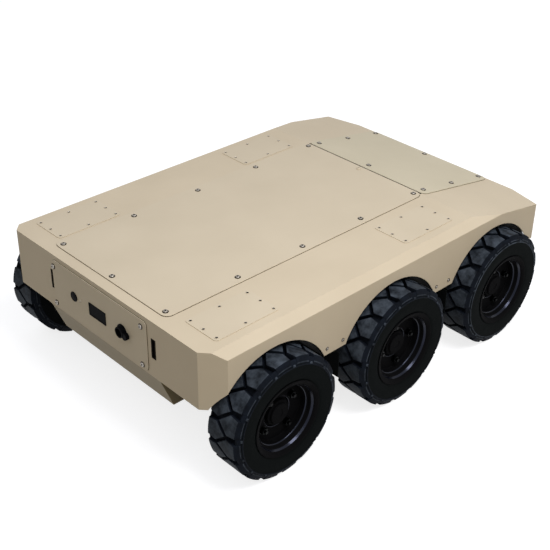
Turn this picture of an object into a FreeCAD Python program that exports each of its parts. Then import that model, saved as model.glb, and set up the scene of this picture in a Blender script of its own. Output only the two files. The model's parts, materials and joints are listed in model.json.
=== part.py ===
import FreeCAD, Part
import Sketcher
import os
import re

# Six-wheeled robot chassis: a sheet-metal hull with a sloped nose, screwed covers and
# drilled payload pads, carried by six solid industrial tyres on hub drives.
# Millimetres, X forward, Y left, Z up. The origin is on the ground, under the middle
# of the overall length and width.

doc = FreeCAD.newDocument("six_wheel_chassis")

# Driving sizes

SIZES = [
    # hull
    ("hull_length", 1454), ("hull_width", 964), ("deck_height", 458),
    ("nose_drop", 63), ("nose_length", 358), ("sheet", 3),
    ("bevel_run", 31), ("bevel_drop", 21),
    ("rear_facet_run", 53), ("rear_facet_width", 57),
    ("nose_facet_run", 41), ("nose_facet_width", 127),
    ("skirt_depth", 185), ("arch_gap", 25.5), ("arch_drop", 10), ("arch_depth", 67),
    # tub
    ("tub_width", 528), ("tub_clearance", 172), ("tub_rake", 41),
    # covers and pads
    ("cover_sheet", 3), ("cover_corner", 24), ("cover_width", 532), ("cover_shift", 14),
    ("lid_rear_margin", 37), ("lid_bend_gap", 2), ("hatch_bend_gap", 4), ("hatch_front_margin", 3),
    ("screw_edge", 24.5), ("screw_head_radius", 7), ("screw_head_height", 4.4),
    ("pad_sheet", 2), ("pad_margin", 12), ("pad_corner", 12), ("pad_hole_radius", 4.2),
    ("pad_cover_gap", 13), ("pad_bevel_gap", 28), ("pad_pitch_x", 101.5),
    ("rear_pad_setback", 179), ("front_pad_setback", 169),
    # control panel on the rear face
    ("panel_sheet", 3), ("panel_right", -214), ("panel_left", 235),
    ("panel_drop", 15), ("panel_height", 162), ("panel_corner", 14),
    ("slot_gap", 5), ("slot_width", 12), ("slot_drop", 58), ("slot_length", 60),
    ("button_y", 130), ("button_drop", 96), ("button_radius", 16.5),
    ("button_stem_radius", 11), ("button_proud", 4),
    ("lamp_y", 98), ("lamp_radius", 2.5),
    ("display_y", 14.5), ("display_drop", 99), ("display_width", 80),
    ("display_depth", 42), ("display_proud", 2), ("display_frame", 5),
    ("socket_y", -103), ("socket_drop", 97), ("socket_flange_radius", 22),
    ("socket_flange_sheet", 3), ("socket_radius", 17), ("socket_proud", 14),
    ("fitting_reach", 30), ("seat_gap", 0.2),
    # wheels
    ("deck_over_tyre", 73), ("tyre_width", 126), ("tyre_proud", 64), ("axle_shift", -27),
    ("groove_depth", 18.5), ("groove_half", 6.3), ("groove_mouth_half", 12.3),
    ("lug_waist_y", 21), ("lug_reach", 15), ("lug_side", 12), ("lug_foot", 1), ("lug_root", 8),
    ("rim_width", 124), ("rim_flange_height", 17.4), ("rim_flange_run", 10),
    ("rim_sheet", 4), ("rim_lip", 2), ("rim_curl", 5.5),
    ("rim_well_half", 38), ("rim_well_drop", 7.6), ("rim_step_run", 4),
    ("disc_offset", 8), ("disc_sheet", 6), ("pilot_radius", 32),
    # hub and drive
    ("hub_flange_gap", 12), ("hub_flange_sheet", 10), ("shaft_radius", 20),
    ("shaft_length", 66), ("shaft_clearance", 0.05), ("turning_gap", 5),
    ("pilot_gap", 0.3), ("pilot_proud", 14),
    ("motor_radius", 58), ("gear_flange_width", 128), ("gear_flange_cut", 22),
    ("gear_flange_sheet", 12), ("gearbox_width", 104), ("gearbox_cut", 26),
    ("gearbox_length", 72), ("drive_plate_sheet", 10), ("drive_plate_cut", 18),
    ("drive_plate_width", 170), ("drive_plate_above", 100), ("drive_plate_below", 70),
    # battery inside the tub
    ("battery_length", 560), ("battery_width", 290), ("battery_height", 170),
]

sheet = doc.addObject("Spreadsheet::Sheet", "Sizes")
for row, (alias, size) in enumerate(SIZES, start=1):
    sheet.set(f"A{row}", alias)
    sheet.set(f"B{row}", str(size))
    sheet.setAlias(f"B{row}", alias)
doc.recompute()

NODES = []


def S(text):
    """Turns the names of sizes in a formula into references to the sheet."""
    return re.sub("[a-z_]+", lambda word: ALIASES.get(word.group(), word.group()), text)


ALIASES = {alias: "Sizes." + alias for alias, _ in SIZES}

# How far past a face the cutting shapes reach, so that they cut right through
CLEAR = 20

# The hull's middle stands forward of the origin, because the socket sticks out at the rear
HULL_X = S("( panel_sheet + socket_proud ) / 2")


def number(expression):
    """The present value of an expression on the sheet."""
    return float(sheet.evalExpression(expression))


def bind(thing, path, expression):
    thing.setExpression(path, expression)


def new_body(label, along=HULL_X, across="0", up="0", turn=0):
    """An empty body at a place given by expressions, turned about the vertical."""
    body = doc.addObject("PartDesign::Body", label)
    body.Label = label
    body.Placement = FreeCAD.Placement(
        FreeCAD.Vector(0, 0, 0), FreeCAD.Rotation(FreeCAD.Vector(0, 0, 1), turn))
    bind(body, "Placement.Base.x", along)
    bind(body, "Placement.Base.y", across)
    bind(body, "Placement.Base.z", up)
    return body


def sketch_on(body, name, plane, offset="0"):
    """A sketch on one of the body's own planes, moved along the plane's normal."""
    sketch = body.newObject("Sketcher::SketchObject", name)
    for feature in body.Origin.OriginFeatures:
        if feature.Role == plane + "_Plane":
            sketch.AttachmentSupport = (feature, "")
    sketch.MapMode = "FlatFace"
    bind(sketch, "AttachmentOffset.Base.z", offset)
    return sketch


def place_point(sketch, index, end, across, up):
    """Pins one point of the sketch's geometry to two expressions."""
    for kind, expression in (("DistanceX", across), ("DistanceY", up)):
        rule = sketch.addConstraint(
            Sketcher.Constraint(kind, -1, 1, index, end, number(expression)))
        bind(sketch, f"Constraints[{rule}]", expression)


def polygon(sketch, corners):
    """A closed outline through corners, each a pair of expressions."""
    points = [FreeCAD.Vector(number(across), number(up), 0) for across, up in corners]
    first = sketch.GeometryCount
    count = len(points)
    for i in range(count):
        sketch.addGeometry(Part.LineSegment(points[i], points[(i + 1) % count]), False)
    for i in range(count):
        follower = first + (i + 1) % count
        sketch.addConstraint(Sketcher.Constraint("Coincident", first + i, 2, follower, 1))
    for i, (across, up) in enumerate(corners):
        place_point(sketch, first + i, 1, across, up)


def circle(sketch, across, up, radius):
    centre = FreeCAD.Vector(number(across), number(up), 0)
    index = sketch.addGeometry(
        Part.Circle(centre, FreeCAD.Vector(0, 0, 1), number(radius)), False)
    rule = sketch.addConstraint(Sketcher.Constraint("Radius", index, number(radius)))
    bind(sketch, f"Constraints[{rule}]", radius)
    place_point(sketch, index, 3, across, up)


def pad(body, name, sketch, length, backwards=False):
    feature = body.newObject("PartDesign::Pad", name)
    feature.Profile = sketch
    feature.Reversed = backwards
    bind(feature, "Length", length)
    doc.recompute()
    return feature


def pocket(body, name, sketch, backwards=False, depth=None):
    """Cuts the sketch into the body, right through where no depth is given."""
    before = body.Shape.Volume
    feature = body.newObject("PartDesign::Pocket", name)
    feature.Profile = sketch
    feature.Reversed = backwards
    if depth is None:
        feature.Type = "ThroughAll"
    else:
        bind(feature, "Length", depth)
    doc.recompute()
    if body.Shape.Volume >= before:
        raise RuntimeError(name + " cuts nothing")
    return feature


def revolve(body, name, sketch, axis="H_Axis"):
    feature = body.newObject("PartDesign::Revolution", name)
    feature.Profile = sketch
    feature.ReferenceAxis = (sketch, [axis])
    feature.Angle = 360
    doc.recompute()
    return feature


def round_corners(body, name, radius, axis):
    """Fillets the edges of the last feature that run along one axis."""
    tip = body.Tip
    edges = []
    for i, edge in enumerate(tip.Shape.Edges, start=1):
        run = edge.Vertexes[-1].Point - edge.Vertexes[0].Point
        if run.Length > 0 and abs(run.normalize().dot(axis)) > 0.999:
            edges.append(f"Edge{i}")
    feature = body.newObject("PartDesign::Fillet", name)
    feature.Base = (tip, edges)
    bind(feature, "Radius", radius)
    doc.recompute()
    return feature


def combine(kind, label, base, tool):
    """A cut or a common of two shapes, under a label of its own."""
    result = doc.addObject("Part::" + kind, label)
    result.Label = label
    result.Base = base
    result.Tool = tool
    doc.recompute()
    return result


def keep(thing, label):
    """Lists a finished sub-part, which is written out under its label."""
    thing.Label = label
    NODES.append(thing)


HALF_LENGTH = S("hull_length / 2")
HALF_WIDTH = S("hull_width / 2")
BEND_X = S("hull_length / 2 - nose_length")
HALF_TUB = S("tub_width / 2")
SKIRT = S("( deck_height - skirt_depth )")
NOSE_HEIGHT = S("( deck_height - nose_drop )")

# The tyres fill the height under the deck
TYRE_RADIUS = S("( ( deck_height - deck_over_tyre ) / 2 )")

# The standard tyre is 385 mm across on a rim whose flange is 238 mm across
RIM_LIP_RADIUS = f"( {TYRE_RADIUS} * 238 / 385 )"
RIM_SEAT_RADIUS = f"( {RIM_LIP_RADIUS} - Sizes.rim_flange_height )"
RIM_BARREL = f"( {RIM_SEAT_RADIUS} - Sizes.rim_well_drop - Sizes.rim_sheet )"

# The arches stand clear of the tyres
ARCH_RADIUS = f"( {TYRE_RADIUS} + Sizes.arch_gap )"
ARCH_CENTRE = f"( {TYRE_RADIUS} - Sizes.arch_drop )"

# The three axles stand a third of the hull's length apart
WHEEL_PITCH = S("( hull_length / 3 )")
HALF_TRACK = S("( hull_width / 2 + tyre_proud - tyre_width / 2 )")
AXLES = [("rear", -1), ("middle", 0), ("front", 1)]


def axle_x(step):
    return f"( Sizes.axle_shift + {step} * {WHEEL_PITCH} )"


# Hull form: the closed outer shape under the deck, bevels and nose

def facet_corners(side_x, side_y):
    """The two plan corners of a cut-off hull corner: on the end face, then on the side."""
    end = "rear" if side_x < 0 else "nose"
    x_sign = "-1" if side_x < 0 else "1"
    y_sign = "-1" if side_y < 0 else "1"
    on_end = (f"{x_sign} * {HALF_LENGTH}",
              f"{y_sign} * ( {HALF_WIDTH} - Sizes.{end}_facet_width )")
    on_side = (f"{x_sign} * ( {HALF_LENGTH} - Sizes.{end}_facet_run )",
               f"{y_sign} * {HALF_WIDTH}")
    return on_end, on_side


def hull_form(name, drop):
    """The hull's outer form, with its top lowered by drop."""
    body = new_body(name, up=f"-1 * ( {drop} )")
    side = sketch_on(body, name + "_side", "XZ", f"-1 * {HALF_WIDTH}")
    polygon(side, [
        (f"-1 * {HALF_LENGTH}", SKIRT),
        (HALF_LENGTH, SKIRT),
        (HALF_LENGTH, NOSE_HEIGHT),
        (BEND_X, S("deck_height")),
        (f"-1 * {HALF_LENGTH}", S("deck_height")),
    ])
    pad(body, name + "_block", side, S("hull_width"))

    plan = sketch_on(body, name + "_plan", "XY", S("deck_height") + f" + {CLEAR}")
    for side_x in (-1, 1):
        for side_y in (-1, 1):
            on_end, on_side = facet_corners(side_x, side_y)
            out_x = f"{side_x} * ( {HALF_LENGTH} + {CLEAR} )"
            out_y = f"{side_y} * ( {HALF_WIDTH} + {CLEAR} )"
            polygon(plan, [on_end, on_side, (on_side[0], out_y), (out_x, out_y),
                           (out_x, on_end[1])])
    pocket(body, name + "_facets", plan)

    ends = sketch_on(body, name + "_end", "YZ", HALF_LENGTH + f" + {CLEAR}")
    for side_y in (-1, 1):
        edge = f"{side_y} * {HALF_WIDTH}"
        polygon(ends, [
            (f"{side_y} * ( {HALF_WIDTH} - Sizes.bevel_run )", S("deck_height")),
            (edge, S("deck_height - bevel_drop")),
            (f"{side_y} * ( {HALF_WIDTH} + {CLEAR} )", S("deck_height - bevel_drop")),
            (f"{side_y} * ( {HALF_WIDTH} + {CLEAR} )", S("deck_height") + f" + {CLEAR}"),
            (f"{side_y} * ( {HALF_WIDTH} - Sizes.bevel_run )", S("deck_height") + f" + {CLEAR}"),
        ])
    pocket(body, name + "_bevels", ends)
    return body


outer_form = hull_form("outer_form", "0")
under_form = hull_form("under_form", "Sizes.sheet")


# Deck: one bent sheet with the nose slope and the side bevels, drilled under the pads

REAR_PAD_X = f"( Sizes.rear_pad_setback - {HALF_LENGTH} )"
FRONT_PAD_X = f"( {BEND_X} - Sizes.front_pad_setback )"
PADS = [("rear_right", REAR_PAD_X, -1), ("rear_left", REAR_PAD_X, 1),
        ("front_right", FRONT_PAD_X, -1), ("front_left", FRONT_PAD_X, 1)]

# Each pad fills the strip between the covers and the bevel
PAD_INNER = S("( cover_width / 2 + cover_shift + pad_cover_gap )")
PAD_OUTER = S("( hull_width / 2 - bevel_run - pad_bevel_gap )")
PAD_CENTRE = f"( ( {PAD_INNER} + {PAD_OUTER} ) / 2 )"
PAD_PITCH_Y = f"( ( {PAD_OUTER} - {PAD_INNER} ) / 2 - Sizes.pad_margin )"


def pad_holes(sketch, middle_x, middle_y):
    """Eight holes on a three by three grid that has none in the middle."""
    for i in (-1, 0, 1):
        for j in (-1, 0, 1):
            if i or j:
                circle(sketch, f"{middle_x} + {i} * Sizes.pad_pitch_x",
                       f"{middle_y} + {j} * {PAD_PITCH_Y}", S("pad_hole_radius"))


drilling = sketch_on(outer_form, "deck_drilling", "XY", S("deck_height") + f" + {CLEAR}")
for _, pad_x, side_y in PADS:
    pad_holes(drilling, pad_x, f"{side_y} * {PAD_CENTRE}")
pocket(outer_form, "deck_holes", drilling)
keep(combine("Cut", "deck", outer_form, under_form), "deck")


# Side panels: flat sheets with three round wheel arches

def corner_inset(end, run_first):
    """Where the inner faces of two sheets meet, measured from their outer corner."""
    run, width = f"Sizes.{end}_facet_run", f"Sizes.{end}_facet_width"
    slant = f"sqrt( {run} ^ 2 + {width} ^ 2 )"
    if run_first:
        return f"( Sizes.sheet * {run} / ( {slant} + {width} ) )"
    return f"( Sizes.sheet * {width} / ( {slant} + {run} ) )"


SIDE_REAR = f"( -1 * {HALF_LENGTH} + Sizes.rear_facet_run + {corner_inset('rear', False)} )"
SIDE_FRONT = f"( {HALF_LENGTH} - Sizes.nose_facet_run - {corner_inset('nose', False)} )"
# Wheel arches: round rooms for the tyres, sunk into the hull from both sides

rooms = []
for axle_name, step in AXLES:
    for side_name, side_y in (("right", -1), ("left", 1)):
        room = doc.addObject("Part::Cylinder", f"arch_room_{axle_name}_{side_name}")
        room.Placement = FreeCAD.Placement(
            FreeCAD.Vector(0, 0, 0), FreeCAD.Rotation(FreeCAD.Vector(1, 0, 0), -90 * side_y))
        bind(room, "Radius", ARCH_RADIUS)
        bind(room, "Height", f"Sizes.arch_depth + {CLEAR}")
        bind(room, "Placement.Base.x", f"{HULL_X} + {axle_x(step)}")
        bind(room, "Placement.Base.y", f"{side_y} * ( {HALF_WIDTH} - Sizes.arch_depth )")
        bind(room, "Placement.Base.z", ARCH_CENTRE)
        rooms.append(room)
arch_rooms = doc.addObject("Part::Compound", "arch_rooms")
arch_rooms.Links = rooms
doc.recompute()


for side_name, side_y in (("right", -1), ("left", 1)):
    name = "side_panel_" + side_name
    blank = new_body(name + "_blank")
    face = HALF_WIDTH if side_y < 0 else f"-1 * {HALF_WIDTH} + Sizes.sheet"
    outline = sketch_on(blank, name + "_outline", "XZ", f"{face} - Sizes.sheet")
    polygon(outline, [(SIDE_REAR, SKIRT), (SIDE_FRONT, SKIRT),
                      (SIDE_FRONT, S("deck_height")), (SIDE_REAR, S("deck_height"))])
    pad(blank, name + "_sheet", outline, S("sheet"))
    under_deck = combine("Common", name + "_under_deck", blank, under_form)
    keep(combine("Cut", name, under_deck, arch_rooms), name)


# End walls: each a sheet folded round the two cut-off corners

def end_wall(name, side_x):
    blank = new_body(name + "_blank")
    end = "rear" if side_x < 0 else "nose"
    side_end = SIDE_REAR if side_x < 0 else SIDE_FRONT
    across_fold = corner_inset(end, True)
    corners = []
    for side_y in (-1, 1):
        on_end, on_side = facet_corners(side_x, side_y)
        outer = [(side_end, on_side[1]), on_side, on_end]
        inner = [
            (f"{side_x} * ( {HALF_LENGTH} - Sizes.sheet )",
             f"{side_y} * ( {HALF_WIDTH} - Sizes.{end}_facet_width - {across_fold} )"),
            (side_end, f"{side_y} * ( {HALF_WIDTH} - Sizes.sheet )"),
        ]
        corners.append((outer, inner))
    (outer_right, inner_right), (outer_left, inner_left) = corners
    plan = sketch_on(blank, name + "_plan", "XY", SKIRT)
    polygon(plan, outer_right + outer_left[::-1] + inner_left[::-1] + inner_right)
    pad(blank, name + "_sheet", plan, S("skirt_depth"))
    return blank


rear_blank = end_wall("rear_wall", -1)


def box_corners(middle_y, middle_z, width, height):
    """Four corners of an upright rectangle round a middle point."""
    return [(f"{middle_y} - {width} / 2", f"{middle_z} - {height} / 2"),
            (f"{middle_y} + {width} / 2", f"{middle_z} - {height} / 2"),
            (f"{middle_y} + {width} / 2", f"{middle_z} + {height} / 2"),
            (f"{middle_y} - {width} / 2", f"{middle_z} + {height} / 2")]


BUTTON_HEIGHT = S("( deck_height - button_drop )")
DISPLAY_HEIGHT = S("( deck_height - display_drop )")
SOCKET_HEIGHT = S("( deck_height - socket_drop )")
STEM_BODY = (S("( display_width - 2 * display_frame )"), S("( display_depth - 2 * display_frame )"))


def fitting_holes(sketch, gap):
    """The holes that the button, lamp, display and socket pass through."""
    circle(sketch, S("button_y"), BUTTON_HEIGHT, f"Sizes.button_stem_radius + {gap}")
    circle(sketch, S("lamp_y"), BUTTON_HEIGHT, f"Sizes.lamp_radius + {gap}")
    polygon(sketch, box_corners(S("display_y"), DISPLAY_HEIGHT,
                                f"( {STEM_BODY[0]} + 2 * {gap} )",
                                f"( {STEM_BODY[1]} + 2 * {gap} )"))
    circle(sketch, S("socket_y"), SOCKET_HEIGHT, f"Sizes.socket_radius + {gap}")


rear_cuts = sketch_on(rear_blank, "rear_wall_cuts", "YZ", f"-1 * {HALF_LENGTH} + {CLEAR}")
fitting_holes(rear_cuts, "Sizes.seat_gap")
for side_y in (-1, 1):
    polygon(rear_cuts, box_corners(
        f"{side_y} * ( Sizes.panel_left + Sizes.slot_gap )",
        S("( deck_height - slot_drop - slot_length / 2 )"), S("slot_width"), S("slot_length")))
pocket(rear_blank, "rear_wall_holes", rear_cuts)
rear_under_deck = combine("Common", "rear_wall_under_deck", rear_blank, under_form)
keep(combine("Cut", "rear_wall", rear_under_deck, arch_rooms), "rear_wall")
keep(combine("Common", "nose_wall", end_wall("nose_wall", 1), under_form), "nose_wall")


# Tub: the narrow lower box between the wheels, with raked ends, open under the deck

RAKE_RISE = f"( {SKIRT} - Sizes.tub_clearance )"
RAKE_STEP = f"( Sizes.sheet * sqrt( Sizes.tub_rake ^ 2 + {RAKE_RISE} ^ 2 ) / {RAKE_RISE} )"
FLOOR_STEP = f"( Sizes.sheet * Sizes.tub_rake / {RAKE_RISE} )"
INNER_END = f"( {HALF_LENGTH} - Sizes.sheet )"
RAKE_FOOT = f"( {HALF_LENGTH} - Sizes.tub_rake )"
INNER_TOP = f"( {HALF_LENGTH} - {RAKE_STEP} )"
INNER_FOOT = f"( {RAKE_FOOT} - {RAKE_STEP} + {FLOOR_STEP} )"

tub_blank = new_body("tub_blank")
tub_side = sketch_on(tub_blank, "tub_side", "XZ", f"-1 * {HALF_TUB}")
polygon(tub_side, [
    (f"-1 * {RAKE_FOOT}", S("tub_clearance")), (RAKE_FOOT, S("tub_clearance")),
    (HALF_LENGTH, SKIRT), (INNER_END, SKIRT),
    (INNER_END, S("deck_height")), (f"-1 * {INNER_END}", S("deck_height")),
    (f"-1 * {INNER_END}", SKIRT), (f"-1 * {HALF_LENGTH}", SKIRT),
])
pad(tub_blank, "tub_block", tub_side, S("tub_width"))

tub_room = sketch_on(tub_blank, "tub_room", "XZ", f"-1 * ( {HALF_TUB} - Sizes.sheet )")
room_end = f"( {HALF_LENGTH} + {CLEAR} )"
room_top = S("deck_height") + f" + {CLEAR}"
polygon(tub_room, [
    (f"-1 * {INNER_FOOT}", S("tub_clearance + sheet")), (INNER_FOOT, S("tub_clearance + sheet")),
    (INNER_TOP, SKIRT), (room_end, SKIRT),
    (room_end, room_top), (f"-1 * {room_end}", room_top),
    (f"-1 * {room_end}", SKIRT), (f"-1 * {INNER_TOP}", SKIRT),
])
pocket(tub_blank, "tub_room_cut", tub_room, backwards=True, depth=S("tub_width - 2 * sheet"))

cap = new_body("tub_cap")
cap_side = sketch_on(cap, "tub_cap_side", "XZ", f"-1 * {HALF_WIDTH}")
polygon(cap_side, [
    (f"-1 * ( {HALF_LENGTH} + {CLEAR} )", S("deck_height - sheet")),
    (BEND_X, S("deck_height - sheet")),
    (HALF_LENGTH, f"{NOSE_HEIGHT} - Sizes.sheet"),
    (f"{HALF_LENGTH} + {CLEAR}", f"{NOSE_HEIGHT} - Sizes.sheet"),
    (f"{HALF_LENGTH} + {CLEAR}", room_top),
    (f"-1 * ( {HALF_LENGTH} + {CLEAR} )", room_top),
])
pad(cap, "tub_cap_block", cap_side, S("hull_width"))
keep(combine("Cut", "lower_tub", tub_blank, cap), "lower_tub")


# Covers screwed on top: the long deck lid and the nose hatch

def cover(name, rear_x, front_x, height_rear, height_front, screw_shares=()):
    """A thin plate with rounded corners, lying on the deck or along the nose. Screw heads stand
    along both sides at the given shares of its length, and midway across at the first and last."""
    run = f"( {front_x} - {rear_x} )"
    fall = f"( {height_rear} - {height_front} )"
    body = new_body(name, along=f"{HULL_X} + {rear_x}", across="Sizes.cover_shift",
                    up=height_rear)
    body.Placement.Rotation = FreeCAD.Rotation(FreeCAD.Vector(0, 1, 0), 0)
    bind(body, "Placement.Rotation.Axis.x", "0")
    bind(body, "Placement.Rotation.Axis.y", "1")
    bind(body, "Placement.Rotation.Axis.z", "0")
    bind(body, "Placement.Rotation.Angle", f"atan( {fall} / {run} )")
    length = f"sqrt( {run} ^ 2 + {fall} ^ 2 )"
    plan = sketch_on(body, name + "_plan", "XY")
    half = S("cover_width / 2")
    polygon(plan, [("0", f"-1 * {half}"), (length, f"-1 * {half}"), (length, half), ("0", half)])
    pad(body, name + "_sheet", plan, S("cover_sheet"))
    round_corners(body, name + "_corners", S("cover_corner"), FreeCAD.Vector(0, 0, 1))
    if screw_shares:
        heads = sketch_on(body, name + "_screws", "XY", S("cover_sheet"))
        edge = S("( cover_width / 2 - screw_edge )")
        places = [(share, f"{side} * {edge}") for share in screw_shares for side in (-1, 1)]
        places += [(screw_shares[0], "0"), (screw_shares[-1], "0")]
        for share, across in places:
            circle(heads, f"{share} * {length}", across, S("screw_head_radius"))
        pad(body, name + "_screw_heads", heads, S("screw_head_height"))
    keep(body, name)


def nose_top(x):
    """Height of the nose's upper face at a distance from the hull's middle."""
    return (f"( Sizes.deck_height - ( {x} - ( {BEND_X} ) )"
            f" * Sizes.nose_drop / Sizes.nose_length )")


lid_rear = f"( -1 * {HALF_LENGTH} + Sizes.lid_rear_margin )"
lid_front = f"( {BEND_X} - Sizes.lid_bend_gap )"
# The lid's screw heads are the highest points of the whole machine
cover("deck_lid", lid_rear, lid_front, S("deck_height"), S("deck_height"),
      (0.017, 0.262, 0.505, 0.745, 0.983))
hatch_rear = f"( {BEND_X} + Sizes.hatch_bend_gap )"
hatch_front = f"( {HALF_LENGTH} - Sizes.hatch_front_margin )"
cover("nose_hatch", hatch_rear, hatch_front, nose_top(hatch_rear), nose_top(hatch_front))


# Payload pads: thin drilled plates near the deck's corners

for place, pad_x, side_y in PADS:
    name = "payload_pad_" + place
    body = new_body(name, along=f"{HULL_X} + {pad_x}",
                    across=f"{side_y} * {PAD_CENTRE}", up=S("deck_height"))
    plan = sketch_on(body, name + "_plan", "XY")
    polygon(plan, box_corners("0", "0", S("( 2 * pad_pitch_x + 2 * pad_margin )"),
                              f"( 2 * {PAD_PITCH_Y} + 2 * Sizes.pad_margin )"))
    pad(body, name + "_sheet", plan, S("pad_sheet"))
    round_corners(body, name + "_corners", S("pad_corner"), FreeCAD.Vector(0, 0, 1))
    holes = sketch_on(body, name + "_holes", "XY", f"Sizes.pad_sheet + {CLEAR}")
    pad_holes(holes, "0", "0")
    pocket(body, name + "_drilling", holes)
    keep(body, name)


# Control panel: a screwed plate on the rear face, with its fittings

REAR_FACE = f"-1 * {HALF_LENGTH}"
PANEL_FACE = f"( {REAR_FACE} - Sizes.panel_sheet )"

panel = new_body("rear_panel")
panel_plan = sketch_on(panel, "rear_panel_plan", "YZ", REAR_FACE)
panel_top = S("( deck_height - panel_drop )")
panel_bottom = S("( deck_height - panel_drop - panel_height )")
polygon(panel_plan, [(S("panel_right"), panel_bottom), (S("panel_left"), panel_bottom),
                     (S("panel_left"), panel_top), (S("panel_right"), panel_top)])
pad(panel, "rear_panel_sheet", panel_plan, S("panel_sheet"), backwards=True)
round_corners(panel, "rear_panel_corners", S("panel_corner"), FreeCAD.Vector(1, 0, 0))
panel_holes = sketch_on(panel, "rear_panel_holes", "YZ", f"{REAR_FACE} + {CLEAR}")
fitting_holes(panel_holes, "Sizes.seat_gap")
pocket(panel, "rear_panel_cut", panel_holes)
keep(panel, "rear_panel")


def round_fitting(name, middle_y, middle_z, steps):
    """A turned fitting on the panel. Each step is its radius and how far it stands proud."""
    body = new_body(name, across=middle_y, up=middle_z)
    profile = sketch_on(body, name + "_profile", "XZ")
    back = f"( {REAR_FACE} + Sizes.fitting_reach )"
    stem = steps[0][0]
    corners = [(back, "0"), (back, stem), (PANEL_FACE, stem)]
    face = PANEL_FACE
    for radius, proud in steps[1:]:
        corners.append((face, radius))
        face = f"( {PANEL_FACE} - {proud} )"
        corners.append((face, radius))
    corners.append((face, "0"))
    polygon(profile, corners)
    turned = body.newObject("PartDesign::Revolution", name + "_turned")
    turned.Profile = profile
    turned.ReferenceAxis = (profile, ["H_Axis"])
    turned.Angle = 360
    doc.recompute()
    keep(body, name)
    return body


round_fitting("power_button", S("button_y"), BUTTON_HEIGHT,
              [(S("button_stem_radius"), "0"), (S("button_radius"), S("button_proud"))])
round_fitting("status_lamp", S("lamp_y"), BUTTON_HEIGHT,
              [(S("lamp_radius"), "0"), (S("lamp_radius + 1"), "1")])
round_fitting("charge_socket", S("socket_y"), SOCKET_HEIGHT,
              [(S("socket_radius"), "0"),
               (S("socket_flange_radius"), S("socket_flange_sheet")),
               (S("socket_radius"), S("socket_proud"))])

display = new_body("display")
frame_plan = sketch_on(display, "display_frame", "YZ", PANEL_FACE)
polygon(frame_plan, box_corners(S("display_y"), DISPLAY_HEIGHT,
                                S("display_width"), S("display_depth")))
pad(display, "display_front", frame_plan, S("display_proud"), backwards=True)
back_plan = sketch_on(display, "display_back", "YZ", PANEL_FACE)
polygon(back_plan, box_corners(S("display_y"), DISPLAY_HEIGHT,
                               STEM_BODY[0], STEM_BODY[1]))
pad(display, "display_case", back_plan, S("fitting_reach + panel_sheet"))
keep(display, "display")


# Battery: one plain block on the tub's floor

battery = new_body("battery_block", up=S("tub_clearance + sheet"))
battery_plan = sketch_on(battery, "battery_plan", "XY")
polygon(battery_plan, box_corners("0", "0", S("battery_length"), S("battery_width")))
pad(battery, "battery_case", battery_plan, S("battery_height"))
keep(battery, "battery_block")


# Wheels and their drives, in the wheel's own frame: Y outwards, 0 at the wheel's middle

TUB_FACE = f"( {HALF_TUB} - {HALF_TRACK} )"
DISC_BACK = S("disc_offset")
DISC_FACE = S("( disc_offset + disc_sheet )")
HUB_BACK = S("( disc_offset - hub_flange_sheet )")
DRIVE_END = S("( disc_offset - hub_flange_sheet - turning_gap )")
SHAFT_END = f"( {DRIVE_END} - Sizes.shaft_length )"


def wheel_form(name):
    """An empty body in the wheel's own frame. Its finished shape is placed at each wheel."""
    return new_body(name, along="0")


def along_axle(body, name, at):
    """A sketch square to the axle, at a distance along it. X is forward and Y is up."""
    return sketch_on(body, name, "XZ", f"-1 * {at}")


def regular_corners(sides, inner_radius, turn=0):
    """The corners of a regular polygon round the axle, given the radius of its flats."""
    radius = f"{inner_radius} / cos( {180 / sides} deg )"
    angles = [360 * i / sides + turn for i in range(sides)]
    return [(f"{radius} * sin( {angle} deg )", f"{radius} * cos( {angle} deg )") for angle in angles]


# Tyre: half a tyre with one row of lugs, and the same half turned round to face it

LUGS = 16
BORE_SIDES = 20
# A quarter of the lug pitch, so that the bores of the two halves meet corner to corner
BORE_TURN = 90 / LUGS
HALF_TYRE = S("( tyre_width / 2 )")

# A lug fills its share of the round, apart from the grooves beside it
LUG_SHARE = f"( pi * {TYRE_RADIUS} / {LUGS} )"
LUG_WAIST = f"( {LUG_SHARE} - Sizes.groove_half )"
LUG_HEEL = f"( {LUG_SHARE} - Sizes.groove_mouth_half )"
LUG_TOP = f"sqrt( {TYRE_RADIUS} ^ 2 - {LUG_WAIST} ^ 2 )"
TREAD_FLOOR = f"( {TYRE_RADIUS} - Sizes.groove_depth )"
TREAD_FLAT = f"( {TREAD_FLOOR} * cos( {90 / LUGS} deg ) )"
LUG_ROOT = f"( {TREAD_FLOOR} - Sizes.lug_root )"
BEAD_SLOPE = S("( rim_flange_height / rim_flange_run )")
BEAD_Y = S("( rim_width / 2 - rim_lip - rim_flange_run )")
BEAD_RADIUS = f"( {RIM_SEAT_RADIUS} + Sizes.seat_gap )"
MOUTH_RADIUS = f"( {BEAD_RADIUS} + {BEAD_SLOPE} * ( {HALF_TYRE} - {BEAD_Y} ) )"

half_tyre = wheel_form("half_tyre")
side = along_axle(half_tyre, "side", HALF_TYRE)
polygon(side, regular_corners(2 * LUGS, TREAD_FLAT))
polygon(side, regular_corners(BORE_SIDES, BEAD_RADIUS, BORE_TURN))
side_ring = pad(half_tyre, "side_ring", side, f"{HALF_TYRE} - {BEAD_Y}")
bead_facets = []
bead_start = []
for i, face in enumerate(side_ring.Shape.Faces):
    middle = face.CenterOfMass
    from_axle = middle.distanceToPoint(FreeCAD.Vector(0, middle.y, 0))
    if abs(middle.y - number(BEAD_Y)) < 0.01:
        bead_start.append(f"Face{i + 1}")
    elif abs(middle.y - number(HALF_TYRE)) > 0.01 and from_axle < number(MOUTH_RADIUS):
        bead_facets.append(f"Face{i + 1}")
bead_cone = half_tyre.newObject("PartDesign::Draft", "bead_cone")
bead_cone.Base = (side_ring, bead_facets)
bead_cone.NeutralPlane = (side_ring, bead_start)
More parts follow.
